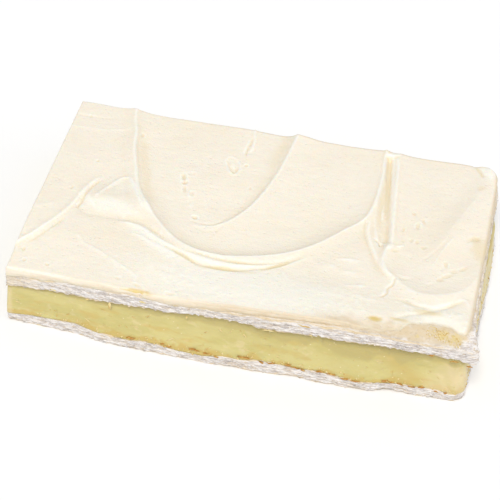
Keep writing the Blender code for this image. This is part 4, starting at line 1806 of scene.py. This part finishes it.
@dataclass(frozen=True)
class Studio:
    """Pale table, soft light and camera."""

    azimuth: float = 9.07
    elevation: float = 40.8
    roll: float = 4.0
    distance: float = 539.9
    across: float = -2.24
    up: float = 6.13
    lens: float = 129.6
    sky: float = 0.515
    half_table: float = 3.0  # metres
    lamps: tuple = (("softbox", 1.93, 2.0, 56.0, 22.0), ("side_panel", 0.38, 80.0, 15.0, 40.0))

    def build(self) -> None:
        """Set the stage."""
        scene = bpy.context.scene
        scene.view_settings.view_transform = "Standard"
        scene.view_settings.look = "None"
        self._table()
        self._light(scene)
        self._camera(scene)

    def _table(self) -> None:
        """Lay the table top just under the slice."""
        corners = np.array([(x, y, -LIFT) for x, y in ((-1, -1), (1, -1), (1, 1), (-1, 1))])
        corners *= (self.half_table, self.half_table, MM)
        table = mesh_object("table_top", corners, [(0, 1, 2, 3)])
        table.data.materials.append(TableFinish().make())

    @staticmethod
    def _direction(azimuth: float, elevation: float) -> Vector:
        """The way to something round the slice, from its bearing and its elevation, in radians."""
        level = math.cos(elevation)
        return Vector((math.sin(azimuth) * level, -math.cos(azimuth) * level, math.sin(elevation)))

    def _light(self, scene: bpy.types.Scene) -> None:
        """Fill the room with soft light and add a broad lamp over the front and a weak one at the side.

        Args:
            scene: The scene.
        """
        world = bpy.data.worlds.new("studio")
        world.use_nodes = True
        background = world.node_tree.nodes["Background"]
        background.inputs[0].default_value = (1.0, 1.0, 1.0, 1.0)
        background.inputs[1].default_value = self.sky
        scene.world = world
        for name, energy, azimuth, elevation, softness in self.lamps:
            lamp = bpy.data.lights.new(name, "SUN")
            lamp.angle = math.radians(softness)
            lamp.energy = energy
            holder = bpy.data.objects.new(name, lamp)
            towards = self._direction(math.radians(azimuth), math.radians(elevation))
            holder.matrix_world = towards.to_track_quat("Z", "Y").to_matrix().to_4x4()
            scene.collection.objects.link(holder)

    def _camera(self, scene: bpy.types.Scene) -> None:
        """Stand the camera over the front cut.

        Args:
            scene: The scene.
        """
        azimuth, roll = math.radians(self.azimuth), math.radians(self.roll)
        back = self._direction(azimuth, math.radians(self.elevation))
        right = Vector((math.cos(azimuth), math.sin(azimuth), 0.0))
        top = back.cross(right)
        turned = right * math.cos(roll) + top * math.sin(roll)
        upright = top * math.cos(roll) - right * math.sin(roll)
        middle = Vector((*(-shift for shift in PLAN_SHIFT), 0.0))
        spot = (back * self.distance + turned * self.across + upright * self.up + middle) * MM
        data = bpy.data.cameras.new("camera")
        data.lens = self.lens
        data.sensor_width = 36.0
        data.clip_start = 0.01
        camera = bpy.data.objects.new("camera", data)
        columns = Matrix((turned, upright, back)).transposed()
        camera.matrix_world = Matrix.Translation(spot) @ columns.to_4x4()
        scene.collection.objects.link(camera)
        scene.camera = camera


def main() -> None:
    """Build the slice and its stage, piece by piece."""
    logging.basicConfig(level=logging.INFO, format="%(name)s %(message)s")
    Studio().build()
    pastry = PastryFinish().make()
    base_outline = Outline(BASE_END, BASE_ADVANCE, 3.2, 3.0, -65.5)
    sheet_outline = Outline(SHEET_END, SHEET_ADVANCE, 1.4, 3.0, -65.5)
    base = PastrySheet("base_sheet", "pastry_base", base_outline, pastry, 100, table_level, base_top)
    sheet = PastrySheet("top_sheet", "pastry_top", sheet_outline, pastry, 200, custard_top, sheet_top,
                        top_insets=TOP_SHEET_INSETS, tanned=1.0, bare=57.0)
    slab = CustardSlab(CustardFinish().make())
    for layer in (base, sheet, slab, IcingCoat(IcingFinish().make())):
        layer.build()
    caramel, crumb = CaramelFinish().make(), CrumbFinish().make()
    Drops("caramel_drops", CUSTARD_ADVANCE, caramel, FOOT_DROPS).build()
    Drops("hanging_drops", SHEET_ADVANCE, caramel, SHEET_DROPS, proud=0.0).build()
    Drops("hanging_slivers", SHEET_ADVANCE, crumb, SLIVERS, proud=0.0, thick=0.2).build()
    for scatter, rings in (
        (Scatter("base_flakes", Shred.FLAKE, pastry, 0.9, 0.7, 2.4, 7, 0.25), base.rings[4:-6]),
        (Scatter("sheet_flakes", Shred.FLAKE, pastry, 0.9, 0.7, 2.4, 8, 0.25), sheet.rings[2:-8]),
        (Scatter("foot_crumbs", Shred.CRUMB, crumb, 0.45, 0.2, 0.7, 9, 3.0), slab.rings[:6]),
        (Scatter("custard_flakes", Shred.FLAKE, crumb, 0.06, 0.8, 2.4, 10, 1.2), slab.rings[6:26]),
    ):
        scatter.strew(mesh_object(f"{scatter.name}_band", place(np.vstack(rings)), band(rings)))
    patch = patch_host("skin_patch", (58.4, -36.6), (5.0, 1.7), -14.0)
    Scatter("skin_crumbs", Shred.CRUMB, crumb, 3.6, 0.15, 0.5, 11, 3.0).strew(patch)


if __name__ == "__main__":
    main()
